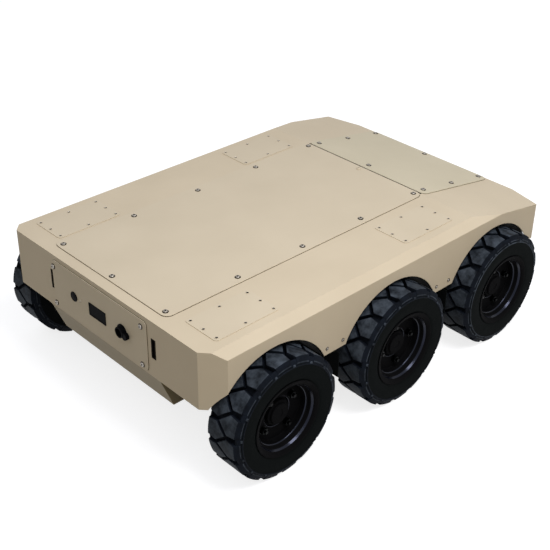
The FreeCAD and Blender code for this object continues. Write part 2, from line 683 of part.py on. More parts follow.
bind(bead_cone, "Angle", f"atan( {BEAD_SLOPE} )")
doc.recompute()
carcass = along_axle(half_tyre, "carcass", BEAD_Y)
polygon(carcass, regular_corners(2 * LUGS, TREAD_FLAT))
polygon(carcass, regular_corners(BORE_SIDES, BEAD_RADIUS, BORE_TURN))
pad(half_tyre, "carcass_ring", carcass, BEAD_Y)

lug_plan = sketch_on(half_tyre, "lug_plan", "XY", LUG_ROOT)
polygon(lug_plan, [(f"-1 * {LUG_HEEL}", HALF_TYRE), (LUG_HEEL, HALF_TYRE),
                   (LUG_WAIST, S("lug_waist_y")), ("0", S("-1 * lug_reach")),
                   (f"-1 * {LUG_WAIST}", S("lug_waist_y"))])
lug = pad(half_tyre, "lug", lug_plan, f"{LUG_TOP} - {LUG_ROOT}")
lug_shoulder = sketch_on(half_tyre, "lug_shoulder", "YZ", LUG_WAIST)
lug_foot = f"( {TREAD_FLOOR} + Sizes.lug_foot )"
polygon(lug_shoulder, [(f"( {HALF_TYRE} - Sizes.lug_side )", LUG_TOP), (HALF_TYRE, lug_foot),
                       (f"{HALF_TYRE} + {CLEAR}", lug_foot),
                       (f"{HALF_TYRE} + {CLEAR}", f"{LUG_TOP} + {CLEAR}"),
                       (f"( {HALF_TYRE} - Sizes.lug_side )", f"{LUG_TOP} + {CLEAR}")])
shoulder_cut = pocket(half_tyre, "lug_shoulder_cut", lug_shoulder, depth=f"2 * {LUG_WAIST}")
lug_row = half_tyre.newObject("PartDesign::PolarPattern", "lug_row")
lug_row.Originals = [lug, shoulder_cut]
for feature in half_tyre.Origin.OriginFeatures:
    if feature.Role == "Y_Axis":
        lug_row.Axis = (feature, [""])
lug_row.Angle = 360
lug_row.Occurrences = LUGS
half_tyre.Tip = lug_row
doc.recompute()

facing_half = doc.addObject("Part::Compound", "facing_half")
facing_half.Links = [half_tyre]
half_pitch_turn = FreeCAD.Rotation(FreeCAD.Vector(0, 1, 0), 180 / LUGS)
about_face = FreeCAD.Rotation(FreeCAD.Vector(0, 0, 1), 180)
facing_half.Placement = FreeCAD.Placement(
    FreeCAD.Vector(0, 0, 0), half_pitch_turn.multiply(about_face))
tyre_form = doc.addObject("Part::MultiFuse", "tyre_form")
tyre_form.Shapes = [half_tyre, facing_half]
tyre_form.Refine = True
doc.recompute()


# Rim and hub: turned about the axle

def turned_form(name, corners):
    """A body of revolution about the axle, from a profile of pairs: along, radius."""
    body = wheel_form(name)
    profile = sketch_on(body, name + "_profile", "YZ")
    polygon(profile, corners)
    revolve(body, name + "_turned", profile)
    return body


def rim_profile():
    """A pressed rim: two sloped flanges, bead seats, a stepped well and a deep disc."""
    edge, lip = S("( rim_width / 2 )"), RIM_LIP_RADIUS
    lip_back = S("( rim_width / 2 - rim_lip )")
    seat, barrel = RIM_SEAT_RADIUS, RIM_BARREL
    inside = f"( {RIM_SEAT_RADIUS} - Sizes.rim_sheet )"
    well = f"( {RIM_SEAT_RADIUS} - Sizes.rim_well_drop )"
    slant = S("sqrt( rim_step_run ^ 2 + rim_well_drop ^ 2 )")
    step = f"Sizes.rim_sheet * ( {slant} - Sizes.rim_step_run ) / Sizes.rim_well_drop"
    seat_end, well_end = S("rim_well_half"), S("( rim_well_half - rim_step_run )")
    tyre_side = [(well_end, well), (seat_end, seat), (BEAD_Y, seat), (lip_back, lip), (edge, lip)]
    open_side = [(edge, f"( {RIM_LIP_RADIUS} - Sizes.rim_curl )"),
                 (f"( {BEAD_Y} + Sizes.rim_sheet )", inside), (f"( {seat_end} + {step} )", inside),
                 (f"( {well_end} + {step} )", barrel)]
    disc = [(DISC_FACE, barrel), (DISC_FACE, S("pilot_radius")),
            (DISC_BACK, S("pilot_radius")), (DISC_BACK, barrel)]

    def mirrored(points):
        return [(f"-1 * {along}", radius) for along, radius in reversed(points)]

    return mirrored(tyre_side) + tyre_side + open_side + disc + mirrored(open_side)


def hub_profile():
    pilot = S("( pilot_radius - pilot_gap )")
    flange = f"( {RIM_BARREL} - Sizes.hub_flange_gap )"
    return [(SHAFT_END, "0"), (SHAFT_END, S("shaft_radius")), (HUB_BACK, S("shaft_radius")),
            (HUB_BACK, flange), (DISC_BACK, flange),
            (DISC_BACK, pilot), (f"( {DISC_FACE} + Sizes.pilot_proud )", pilot),
            (f"( {DISC_FACE} + Sizes.pilot_proud )", "0")]


rim_form = turned_form("rim_form", rim_profile())
hub_form = turned_form("hub_form", hub_profile())


# Drive: a plate on the tub's side, a round motor, a square flange and a gearbox

def cut_square(half_width, half_height_up, half_height_down, cut):
    """A square outline round the axle with its corners cut off."""
    return [(f"( {half_width} - {cut} )", half_height_up), (half_width, f"( {half_height_up} - {cut} )"),
            (half_width, f"( {cut} - {half_height_down} )"),
            (f"( {half_width} - {cut} )", f"-1 * {half_height_down}"),
            (f"( {cut} - {half_width} )", f"-1 * {half_height_down}"),
            (f"-1 * {half_width}", f"( {cut} - {half_height_down} )"),
            (f"-1 * {half_width}", f"( {half_height_up} - {cut} )"),
            (f"( {cut} - {half_width} )", half_height_up)]


drive_form = wheel_form("drive_form")
FLANGE_END = f"( {DRIVE_END} - Sizes.gearbox_length )"
MOTOR_END = f"( {FLANGE_END} - Sizes.gear_flange_sheet )"
plate = along_axle(drive_form, "drive_plate", TUB_FACE)
polygon(plate, cut_square(S("( drive_plate_width / 2 )"), S("drive_plate_above"),
                          S("drive_plate_below"), S("drive_plate_cut")))
pad(drive_form, "drive_plate_sheet", plate, S("drive_plate_sheet"), backwards=True)
motor = along_axle(drive_form, "motor", TUB_FACE)
circle(motor, "0", "0", S("motor_radius"))
pad(drive_form, "motor_case", motor, f"{MOTOR_END} - {TUB_FACE}", backwards=True)
for name, start, end in (("gear_flange", MOTOR_END, FLANGE_END), ("gearbox", FLANGE_END, DRIVE_END)):
    half = f"( Sizes.{name}_width / 2 )"
    outline = along_axle(drive_form, name, start)
    polygon(outline, cut_square(half, half, half, f"Sizes.{name}_cut"))
    pad(drive_form, name + "_block", outline, f"{end} - {start}", backwards=True)
shaft_bore = along_axle(drive_form, "shaft_bore", DRIVE_END)
circle(shaft_bore, "0", "0", S("shaft_radius + shaft_clearance"))
pocket(drive_form, "shaft_bore_cut", shaft_bore, backwards=True,
       depth=S("shaft_length + turning_gap"))


# Each wheel's pieces: the forms placed at the axles, turned so that Y points outwards

FACING = {"left": 0, "right": 180}
FORMS = [("tyre", tyre_form), ("rim", rim_form), ("hub", hub_form), ("drive", drive_form)]

for axle_name, step in AXLES:
    for side_name, side_y in (("right", -1), ("left", 1)):
        for kind, form in FORMS:
            piece = doc.addObject("Part::Compound", f"{kind}_{axle_name}_{side_name}")
            piece.Links = [form]
            piece.Placement = FreeCAD.Placement(
                FreeCAD.Vector(0, 0, 0),
                FreeCAD.Rotation(FreeCAD.Vector(0, 0, 1), FACING[side_name]))
            bind(piece, "Placement.Base.x", f"{HULL_X} + {axle_x(step)}")
            bind(piece, "Placement.Base.y", f"{side_y} * {HALF_TRACK}")
            bind(piece, "Placement.Base.z", TYRE_RADIUS)
            keep(piece, f"{kind}_{axle_name}_{side_name}")


# Checks, then one file for each sub-part

doc.recompute()
for thing in doc.Objects:
    if "Invalid" in thing.State or "Error" in thing.State:
        raise RuntimeError(f"{thing.Label} has state {thing.State}")
os.makedirs("parts", exist_ok=True)
for node in NODES:
    shape = node.Shape
    if shape.isNull() or not shape.isValid() or len(shape.Solids) != 1:
        raise RuntimeError(f"{node.Label} is not one valid solid: {len(shape.Solids)}")
    shape.Solids[0].exportStep(f"parts/{node.Label}.step")
    print(node.Label, round(shape.Volume / 1000), "cm3", shape.BoundBox)
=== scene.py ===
"""A six-wheeled robot chassis: folded steel hull, bolted covers and lugged solid tyres."""

import json
import math

import bmesh
import bpy
from mathutils import Matrix, Vector


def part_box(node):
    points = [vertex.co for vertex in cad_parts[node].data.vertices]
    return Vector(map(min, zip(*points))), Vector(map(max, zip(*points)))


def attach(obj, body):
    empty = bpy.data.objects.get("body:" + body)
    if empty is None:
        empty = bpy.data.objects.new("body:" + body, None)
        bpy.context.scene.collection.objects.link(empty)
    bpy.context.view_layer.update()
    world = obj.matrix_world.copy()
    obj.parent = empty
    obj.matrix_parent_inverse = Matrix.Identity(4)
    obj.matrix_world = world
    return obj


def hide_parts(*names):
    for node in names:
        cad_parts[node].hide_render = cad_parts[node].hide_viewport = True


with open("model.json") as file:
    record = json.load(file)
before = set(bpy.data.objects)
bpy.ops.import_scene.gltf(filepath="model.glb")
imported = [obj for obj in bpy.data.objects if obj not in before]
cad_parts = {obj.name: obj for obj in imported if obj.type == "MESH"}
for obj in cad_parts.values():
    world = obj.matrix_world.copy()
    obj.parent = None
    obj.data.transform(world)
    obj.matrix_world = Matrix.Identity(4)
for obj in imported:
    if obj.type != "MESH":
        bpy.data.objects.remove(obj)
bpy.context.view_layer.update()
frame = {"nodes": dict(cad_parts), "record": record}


# Studio
# A pale floor under a wide soft lamp and an even sky, with a long narrow light for the glints
# around the rims. The camera stands behind the chassis, above it and to its right.

def linear(hex_colour):
    """An sRGB hex colour as the linear colour that a shader takes."""
    parts = [int(hex_colour[i:i + 2], 16) / 255 for i in (1, 3, 5)]
    return [p / 12.92 if p <= 0.04045 else ((p + 0.055) / 1.055) ** 2.4 for p in parts] + [1]


def add_node(tree, kind, **given):
    """Adds a shader node. A given socket is linked to the input of its name, a given value is
    set there, stops colour a ramp, and anything else is a setting of the node."""
    node = tree.nodes.new("ShaderNode" + kind)
    for name, value in given.items():
        label = name.replace("_", " ")
        if name == "stops":
            ramp = node.color_ramp.elements
            while len(ramp) < len(value):
                ramp.new(0.5)
            for element, (position, colour) in zip(ramp, value):
                element.position = position
                element.color = linear(colour)
        elif label not in node.inputs:
            setattr(node, name, value)
        elif isinstance(value, bpy.types.NodeSocket):
            tree.links.new(value, node.inputs[label])
        else:
            node.inputs[label].default_value = value
    return node


def new_material(name):
    """A new material and its node tree, still empty."""
    material = bpy.data.materials.new(name)
    material.use_nodes = True
    material.node_tree.nodes.clear()
    return material, material.node_tree


def area_light(name, shape, width, power):
    """A flat light, linked into the scene and still at the origin."""
    light = bpy.data.lights.new(name, "AREA")
    light.shape = shape
    light.size = width
    light.energy = power
    placed = bpy.data.objects.new(name, light)
    bpy.context.scene.collection.objects.link(placed)
    return placed


camera_data = bpy.data.cameras.new("camera")
camera_data.sensor_width = 36
camera_data.lens = 70.56
camera_data.shift_x = -0.0153
camera_data.shift_y = -0.0258
camera = bpy.data.objects.new("camera", camera_data)
camera.location = (-2.1151, -2.1639, 2.0788)
camera.rotation_euler = [math.radians(turn) for turn in (58.824, -0.956, -43.721)]
bpy.context.scene.collection.objects.link(camera)
bpy.context.scene.camera = camera
bpy.context.scene.view_settings.view_transform = "Standard"

lamp_distance = 4
lamp = area_light("soft_lamp", "DISK", 1.7, 83)
lamp.data.color = (1.0, 0.985, 1.02)
lamp.location = Vector((-0.06, -0.51, 0.858)) * lamp_distance
lamp.rotation_euler = (-lamp.location).to_track_quat("-Z", "Y").to_euler()

# The strip's length lies along the direction in which the rims' glints run
strip_distance = 4.2
strip_light = area_light("strip_light", "RECTANGLE", 3.6, 27)
strip_light.data.size_y = 0.35
away = Vector((-0.35, -0.48, 0.80)).normalized()
along = Vector((-0.915, -0.009, -0.403))
along = (along - along.dot(away) * away).normalized()
strip_light.location = away * strip_distance
strip_light.rotation_euler = Matrix((along, away.cross(along), away)).transposed().to_euler()

world = bpy.data.worlds.new("even_sky")
world.use_nodes = True
bpy.context.scene.world = world
sky = world.node_tree
sky.nodes.clear()


def sees_backdrop(tree):
    """Is one for a ray from the camera, off a glossy surface or through glass, and else zero."""
    path = add_node(tree, "LightPath").outputs
    either = add_node(tree, "Math", operation="MAXIMUM")
    tree.links.new(path["Is Camera Ray"], either.inputs[0])
    tree.links.new(path["Is Glossy Ray"], either.inputs[1])
    any_of_them = add_node(tree, "Math", operation="MAXIMUM")
    tree.links.new(either.outputs[0], any_of_them.inputs[0])
    tree.links.new(path["Is Transmission Ray"], any_of_them.inputs[1])
    return any_of_them.outputs[0]


direction = add_node(sky, "TexCoord")
height = add_node(sky, "SeparateXYZ", Vector=direction.outputs["Generated"])
horizon = add_node(sky, "ValToRGB", Fac=height.outputs["Z"],
                   stops=[(0.0, "#b5b0a5"), (0.5, "#b4b4b4"), (1.0, "#babfd0")])
even_light = add_node(sky, "Background", Color=horizon.outputs["Color"], Strength=1.0)
white_behind = add_node(sky, "Background", Color=linear("#ffffff"), Strength=1.0)
seen_sky = add_node(sky, "MixShader")
sky.links.new(sees_backdrop(sky), seen_sky.inputs[0])
sky.links.new(even_light.outputs[0], seen_sky.inputs[1])
sky.links.new(white_behind.outputs[0], seen_sky.inputs[2])
add_node(sky, "OutputWorld", Surface=seen_sky.outputs[0])

# The floor looks white to the camera, keeps the shadow, and throws a dull tan light upwards
floor_material, floor_tree = new_material("pale_studio_floor")
dull_floor = add_node(floor_tree, "BsdfDiffuse", Color=linear("#6c6355"))
lit_floor = add_node(floor_tree, "BsdfDiffuse", Color=linear("#adadad"))
floor_glow = add_node(floor_tree, "Emission", Color=linear("#ffffff"), Strength=0.78)
white_floor = add_node(floor_tree, "AddShader")
floor_tree.links.new(lit_floor.outputs[0], white_floor.inputs[0])
floor_tree.links.new(floor_glow.outputs[0], white_floor.inputs[1])
seen_floor = add_node(floor_tree, "MixShader")
floor_tree.links.new(sees_backdrop(floor_tree), seen_floor.inputs[0])
floor_tree.links.new(dull_floor.outputs[0], seen_floor.inputs[1])
floor_tree.links.new(white_floor.outputs[0], seen_floor.inputs[2])
add_node(floor_tree, "OutputMaterial", Surface=seen_floor.outputs[0])

bpy.ops.object.select_all(action="DESELECT")
bpy.ops.mesh.primitive_circle_add(vertices=64, radius=16, fill_type="NGON",
                                  location=(0, 0, 0))
floor = bpy.context.object
floor.name = "studio_floor"
floor.data.materials.append(floor_material)


# Hull
# Folded 3 mm steel sheets, welded at the corners and powder coated in desert tan. Folds and cut
# edges are slightly rounded, as laser-cut sheet is once it is deburred and coated.

def start_edit(piece, kind):
    """Goes into edit mode on one piece alone, choosing edges, faces or vertices."""
    if bpy.context.object and bpy.context.object.mode != "OBJECT":
        bpy.ops.object.mode_set(mode="OBJECT")
    bpy.ops.object.select_all(action="DESELECT")
    piece.select_set(True)
    bpy.context.view_layer.objects.active = piece
    bpy.ops.object.mode_set(mode="EDIT")
    bpy.ops.mesh.select_mode(type=kind)


def choose(piece, parts, test):
    """In edit mode, selects the edges, faces or verts that pass the test, and no others."""
    bpy.ops.mesh.select_all(action="DESELECT")
    shape = bmesh.from_edit_mesh(piece.data)
    for part in getattr(shape, parts):
        if test(part):
            part.select_set(True)
    shape.select_flush_mode()
    bmesh.update_edit_mesh(piece.data)


def finish_piece(piece, name, material, body, smooth_angle=40, settle=True):
    """Smooths the rounded edges of a piece, coats it, and fixes it to its body. Settling
    keeps the shading of its flat faces even."""
    if bpy.context.object and bpy.context.object.mode != "OBJECT":
        bpy.ops.object.mode_set(mode="OBJECT")
    bpy.ops.object.select_all(action="DESELECT")
    piece.select_set(True)
    bpy.context.view_layer.objects.active = piece
    piece.name = name
    piece.data.name = name
    bpy.ops.object.shade_smooth_by_angle(angle=math.radians(smooth_angle))
    if settle:
        bpy.ops.object.modifier_add(type="WEIGHTED_NORMAL")
        piece.modifiers[-1].keep_sharp = True
        piece.modifiers[-1].weight = 100
        bpy.ops.object.modifier_apply(modifier=piece.modifiers[-1].name)
    if material is not None:
        piece.data.materials.clear()
        piece.data.materials.append(material)
    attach(piece, body)
    return piece


shortest_fold = 0.03


def sheet_piece(node, rounding, name, material, top=None):
    """The node's own surface with its triangles joined and its folds and edges rounded. What
    stands above top is taken off, and the holes that it leaves are closed."""
    piece = bpy.data.objects.new(name, frame["nodes"][node].data.copy())
    bpy.context.scene.collection.objects.link(piece)
    start_edit(piece, "EDGE")
    bpy.ops.mesh.select_all(action="SELECT")
    bpy.ops.mesh.remove_doubles(threshold=0.00002)
    bpy.ops.mesh.customdata_custom_splitnormals_clear()
    if top is not None:
        choose(piece, "verts", lambda vertex: vertex.co.z > top)
        bpy.ops.mesh.delete(type="VERT")
        bpy.ops.mesh.select_all(action="SELECT")
        bpy.ops.mesh.fill_holes(sides=0)
        bpy.ops.mesh.select_all(action="SELECT")
    bpy.ops.mesh.dissolve_limited(angle_limit=math.radians(0.4))

    def is_fold_or_edge(edge):
        """A cut edge turns by about a right angle. A fold turns by less and is long, as the
        facets of a round hole are not."""
        if len(edge.link_faces) != 2:
            return False
        bend = math.degrees(edge.calc_face_angle(0))
        return 60 < bend < 95 or (6 < bend <= 60 and edge.calc_length() > shortest_fold)

    choose(piece, "edges", is_fold_or_edge)
    bpy.ops.mesh.bevel(offset=rounding, segments=2, affect="EDGES", clamp_overlap=True)
    finish_piece(piece, name, material, "chassis")
    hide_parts(node)
    return piece


def powder_coat(name, low, high):
    """Powder coat is sprayed dry and baked to a skin with a fine even grain. It looks satin, a
    little cloudy over a hand's width, and has no metal glint. The real grain is about 0.5 mm
    and is drawn at 2.5 mm so that it shows."""
    coat, tree = new_material(name)
    place = add_node(tree, "TexCoord").outputs["Object"]
    cloud = add_node(tree, "TexNoise", Vector=place, Scale=1 / 0.24, Detail=3.0, Roughness=0.55)
    tint = add_node(tree, "ValToRGB", Fac=cloud.outputs["Fac"],
                    stops=[(0.32, low), (0.68, high)])
    grain = add_node(tree, "TexNoise", Vector=place, Scale=1 / 0.0025, Detail=2.0, Roughness=0.6)
    satin = add_node(tree, "MapRange", Value=grain.outputs["Fac"], From_Min=0.3, From_Max=0.7,
                     To_Min=0.5, To_Max=0.6)
    relief = add_node(tree, "Bump", Height=grain.outputs["Fac"], Strength=0.25, Distance=0.0002)
    skin = add_node(tree, "BsdfPrincipled", Base_Color=tint.outputs["Color"], Metallic=0.0,
                    Roughness=satin.outputs["Result"], IOR=1.5, Specular_IOR_Level=0.25,
                    Normal=relief.outputs["Normal"])
    add_node(tree, "OutputMaterial", Surface=skin.outputs[0])
    return coat


sheet_rounding = 0.0012
hull_coat = powder_coat("desert_tan_powder_coat", "#c2b49a", "#c7b99f")
sheets = {}
for node in ("deck", "side_panel_right", "side_panel_left", "rear_wall", "nose_wall"):
    sheets[node] = sheet_piece(node, sheet_rounding, node + "_sheet", hull_coat)


# Lower tub
# A folded steel trough under the hull, with raked ends. Its powder coat is the hull's tan drawn
# darker, as painted shade on the underside, and it carries the drives and the battery.

tub_shaded_coat = powder_coat("underside_powder_coat", "#847657", "#8a7c5e")
sheet_piece("lower_tub", sheet_rounding, "tub_sheet", tub_shaded_coat)


# Covers
# The long lid, the hatch on the nose, four payload pads and the rear control panel: flat plates
# with rounded corners, coated like the hull and laid on top of it.

plate_rounding = 0.0007
pad_rounding = 0.0005
plate_thickness = 0.003
cover_coat = powder_coat("cover_powder_coat", "#c2b59c", "#c7baa1")
hatch_coat = powder_coat("hatch_powder_coat", "#bfb59b", "#c4baa0")

# The solid lid has plain discs for its screw heads, which are cut off just above the plate
lid_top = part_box("deck_lid")[0].z + plate_thickness
sheets["deck_lid"] = sheet_piece("deck_lid", plate_rounding, "deck_lid_plate", cover_coat,
                                 top=lid_top + 0.0002)
for node, coat in (("nose_hatch", hatch_coat), ("rear_panel", cover_coat)):
    sheets[node] = sheet_piece(node, plate_rounding, node + "_plate", coat)
for end in ("rear", "front"):
    for side in ("right", "left"):
        node = f"payload_pad_{end}_{side}"
        sheet_piece(node, pad_rounding, node + "_plate", cover_coat)


# Cover screws
# Stainless button-head screws with a hexagon socket, each on a black rubber sealing washer: M8
# on the lid, hatch and panel, and M5 on the side sheets. The heads are turned and plain. The
# washer's black ring also stands for the contact shadow round the head, and the socket is
# lined in the same black. Both are painted shade.

def steel(name, colour, roughness):
    """Turned steel has fine marks about 0.3 mm apart, drawn at 0.8 mm so that they show.
    Stainless steel is a warm grey, and blackened steel is near black."""
    metal, tree = new_material(name)
    place = add_node(tree, "TexCoord").outputs["Object"]
    marks = add_node(tree, "TexNoise", Vector=place, Scale=1 / 0.0008, Detail=2.0)
    dulling = add_node(tree, "MapRange", Value=marks.outputs["Fac"], From_Min=0.3, From_Max=0.7,
                       To_Min=roughness - 0.06, To_Max=roughness + 0.06)
    shine = add_node(tree, "BsdfPrincipled", Base_Color=linear(colour), Metallic=1.0,
                     Roughness=dulling.outputs["Result"])
    add_node(tree, "OutputMaterial", Surface=shine.outputs[0])
    return metal


def seat_on(node, start, along):
    """A place whose Z axis stands on the node's sheet, where a line first meets it."""
    met, spot, normal, _ = sheets[node].ray_cast(Vector(start), Vector(along))
    if not met:
        raise ValueError(f"{node} isn't met from {start}")
    return Matrix.Translation(spot) @ normal.to_track_quat("Z", "Y").to_matrix().to_4x4()


# The sealing washer's reach and height, against the radius of the screw's head
washer_reach = 1.28
washer_height = 0.12


def button_screw(radius, socket_flat):
    """A screw head on Z = 0: a black washer, a short rim, a dome in three steps and a hexagon
    socket. The first material is the steel's. The washer and the socket have the second, a black
    that is painted shade round the head and in the socket's hollow."""
    bpy.ops.object.select_all(action="DESELECT")
    bpy.ops.mesh.primitive_circle_add(vertices=24, radius=radius * washer_reach,
                                      fill_type="NGON", location=(0, 0, 0))
    screw = bpy.context.object
    start_edit(screw, "FACE")
    bpy.ops.mesh.select_all(action="SELECT")
    width = washer_reach
    for rise, new_width in ((washer_height, washer_reach), (0, 0.98), (0.12, 1.0),
                            (0.2, 0.92), (0.12, 0.76), (0.04, 0.64)):
        bpy.ops.mesh.extrude_region_move(
            TRANSFORM_OT_translate={"value": (0, 0, rise * radius)})
        bpy.ops.transform.resize(value=(new_width / width, new_width / width, 1))
        width = new_width
    bpy.ops.mesh.extrude_region_move(TRANSFORM_OT_translate={"value": (0, 0, 0)})
    shape = bmesh.from_edit_mesh(screw.data)
    for vertex in shape.verts:
        if vertex.select:
            angle = math.atan2(vertex.co.y, vertex.co.x)
            past_corner = math.fmod(angle + 4 * math.pi, math.pi / 3) - math.pi / 6
            reach = socket_flat / math.cos(past_corner)
            vertex.co.x, vertex.co.y = reach * math.cos(angle), reach * math.sin(angle)
    bmesh.update_edit_mesh(screw.data)
    bpy.ops.mesh.extrude_region_move(
        TRANSFORM_OT_translate={"value": (0, 0, -0.45 * radius)})
    bpy.ops.mesh.select_all(action="SELECT")
    bpy.ops.mesh.normals_make_consistent(inside=False)
    bpy.ops.object.mode_set(mode="OBJECT")
    screw.data.materials.append(bright_steel)
    screw.data.materials.append(washer_shade_rubber)
    for face in screw.data.polygons:
        in_shaded_socket = math.hypot(face.center.x, face.center.y) < socket_flat * 1.12
        in_washer = face.center.z < (washer_height + 0.001) * radius
        face.material_index = 1 if in_washer or in_shaded_socket else 0
    return screw


def join_pieces(parts):
    """Joins all the parts into the first."""
    bpy.ops.object.select_all(action="DESELECT")
    for part in parts:
        part.select_set(True)
    bpy.context.view_layer.objects.active = parts[0]
    if len(parts) > 1:
        bpy.ops.object.join()
    return parts[0]


def finish_screws(screws, name):
    """Fixes screws or the like to the chassis, in the materials that they already have."""
    finish_piece(screws, name, None, "chassis", smooth_angle=35, settle=False)


def copies(master, places, keep=False):
    """One piece made of copies of the master, each with its own mesh, set at the places. The
    master is removed unless it is kept for more."""
    made = []
    for place in places:
        copy = bpy.data.objects.new(master.name, master.data.copy())
        copy.data.transform(place)
        bpy.context.scene.collection.objects.link(copy)
        made.append(copy)
    piece = join_pieces(made)
    if not keep:
        bpy.data.objects.remove(master)
    return piece


# The screws are seated on the sheets by rays, which need the sheets' places up to date
bpy.context.view_layer.update()
bright_steel = steel("stainless_screws", "#928d86", 0.33)

# Sealing washers are black rubber, pressed flat: quite matt, with tan dust in a 1 mm grain. The
# same black is painted shade in the screw sockets, round the heads and in the seals.
washer_shade_rubber, washer_tree = new_material("sealing_washer_rubber")
washer_place = add_node(washer_tree, "TexCoord").outputs["Object"]
washer_grain = add_node(washer_tree, "TexNoise", Vector=washer_place, Scale=1 / 0.001,
                        Detail=1.0)
washer_dust = add_node(washer_tree, "ValToRGB", Fac=washer_grain.outputs["Fac"],
                       stops=[(0.3, "#0c0a08"), (0.7, "#1b1712")])
washer_body = add_node(washer_tree, "BsdfPrincipled", Base_Color=washer_dust.outputs["Color"],
                       Roughness=0.8, Specular_IOR_Level=0.05)
add_node(washer_tree, "OutputMaterial", Surface=washer_body.outputs[0])


def seats_from_above(node, places):
    """Places on the node's sheet straight below the given ones."""
    return [seat_on(node, (x, y, 1), (0, 0, -1)) for x, y in places]


m8_radius, m8_socket = 0.007, 0.0027
m5_radius, m5_socket = 0.0046, 0.0018
m8_head = button_screw(m8_radius, m8_socket)
lid_rows = (-0.6635, -0.4046, -0.1477, 0.106, 0.3575)
lid_edges = (-0.2275, 0.2555)
lid_middle = 0.014
lid_places = [(x, y) for x in lid_rows for y in lid_edges] + [(lid_rows[0], lid_middle)]
lid_screws = copies(m8_head, seats_from_above("deck_lid", lid_places), keep=True)
finish_screws(lid_screws, "lid_screws")

# The screw midway along the lid's front edge is coated over with the lid
coated_head = button_screw(m8_radius, m8_socket)
for index in range(2):
    coated_head.data.materials[index] = cover_coat
coated_screw = copies(coated_head, seats_from_above("deck_lid", [(lid_rows[-1], lid_middle)]))
finish_screws(coated_screw, "lid_screw_coated")

hatch_places = [(x, y) for x in (0.4125, 0.7155) for y in (-0.224, 0.018, 0.256)]
hatch_places += [(0.5625, -0.224), (0.5625, 0.256)]
hatch_screws = copies(m8_head, seats_from_above("nose_hatch", hatch_places), keep=True)
finish_screws(hatch_screws, "hatch_screws")

panel_places = [(y, z) for y in (-0.190, 0.2285) for z in (0.294, 0.4205)]
panel_screws = copies(
    m8_head, [seat_on("rear_panel", (-1, y, z), (1, 0, 0)) for y, z in panel_places])
finish_screws(panel_screws, "panel_screws")

skirt_places = (-0.2945, -0.2305, 0.1885, 0.2475)
skirt_height = 0.2945
m5_head = button_screw(m5_radius, m5_socket)
for side, outward in (("right", -1), ("left", 1)):
    places = [seat_on(f"side_panel_{side}", (x, outward, skirt_height), (0, -outward, 0))
              for x in skirt_places]
    skirt_screws = copies(m5_head, places, keep=True)
    finish_screws(skirt_screws, f"skirt_screws_{side}")
bpy.data.objects.remove(m5_head)


# Pad inserts
# Each pad hole has a threaded steel insert pressed into it, so that a payload can be bolted
# down. The insert's collar is coated with the pad and its bore is bare.

def turned(profile, steps, closed=False):
    """A shape turned about the Y axis from pairs of along and radius, drawn as a chain
    of points. A closed profile comes back to its start."""
    bpy.ops.object.select_all(action="DESELECT")
    bpy.ops.mesh.primitive_plane_add(size=0.001, location=(0, 0, 0))
    piece = bpy.context.object
    start_edit(piece, "VERT")
    bpy.ops.mesh.select_all(action="SELECT")
    bpy.ops.mesh.merge(type="CENTER")
    along, radius = profile[0]
    bpy.ops.transform.translate(value=(0, along, radius))
    stops = profile[1:] + ([profile[0]] if closed else [])
    for next_along, next_radius in stops:
        bpy.ops.mesh.extrude_region_move(
            TRANSFORM_OT_translate={"value": (0, next_along - along, next_radius - radius)})
        along, radius = next_along, next_radius
    bpy.ops.mesh.select_all(action="SELECT")
    bpy.ops.mesh.spin(steps=steps, angle=2 * math.pi, center=(0, 0, 0), axis=(0, 1, 0))
    bpy.ops.mesh.select_all(action="SELECT")
    bpy.ops.mesh.remove_doubles(threshold=0.00001)
    bpy.ops.mesh.normals_make_consistent(inside=False)
    bpy.ops.object.mode_set(mode="OBJECT")
    return piece


def bevel(piece, width, segments, angle=30):
    """Rounds the edges of a piece that are sharper than the angle."""
    bpy.ops.object.select_all(action="DESELECT")
    piece.select_set(True)
    bpy.context.view_layer.objects.active = piece
    bpy.ops.object.modifier_add(type="BEVEL")
    rounding = piece.modifiers[-1]
    rounding.width = width
    rounding.segments = segments
    rounding.limit_method = "ANGLE"
    rounding.angle_limit = math.radians(angle)
    bpy.ops.object.modifier_apply(modifier=rounding.name)
    return piece


upright = Matrix.Rotation(math.radians(90), 4, "X")
bore_reach = 0.00405
sleeve = turned([(-0.0040, 0.0041), (0.0002, 0.0041), (0.0002, 0.0058), (0.0009, 0.0056),
                 (0.0009, 0.0040), (0.0001, 0.0034), (-0.0040, 0.0033)], 20, closed=True)
sleeve.data.transform(upright)
sleeve.data.materials.append(bright_steel)
sleeve.data.materials.append(cover_coat)
for face in sleeve.data.polygons:
    is_collar = math.hypot(face.center.x, face.center.y) > bore_reach
    face.material_index = 1 if is_collar else 0
mounts = {mount["name"]: mount for mount in frame["record"]["mounts"]}
for end in ("rear", "front"):
    for side in ("right", "left"):
        corners = mounts[f"pad_{end}_{side}_corners"]
        middle = Vector(corners["pos_m"])
        reach_x = corners["dims"]["spacing_x_mm"] / 2000
        reach_y = corners["dims"]["spacing_y_mm"] / 2000
        places = [Matrix.Translation(middle + Vector((i * reach_x, j * reach_y, 0)))
                  for i in (-1, 0, 1) for j in (-1, 0, 1) if i or j]
        inserts = copies(sleeve, places, keep=True)
        finish_screws(inserts, f"pad_inserts_{end}_{side}")
bpy.data.objects.remove(sleeve)


# Rear panel fittings
# A power button, a status lamp beside it, a battery display behind dark glass, and a round
# charging socket with a hinged cap.

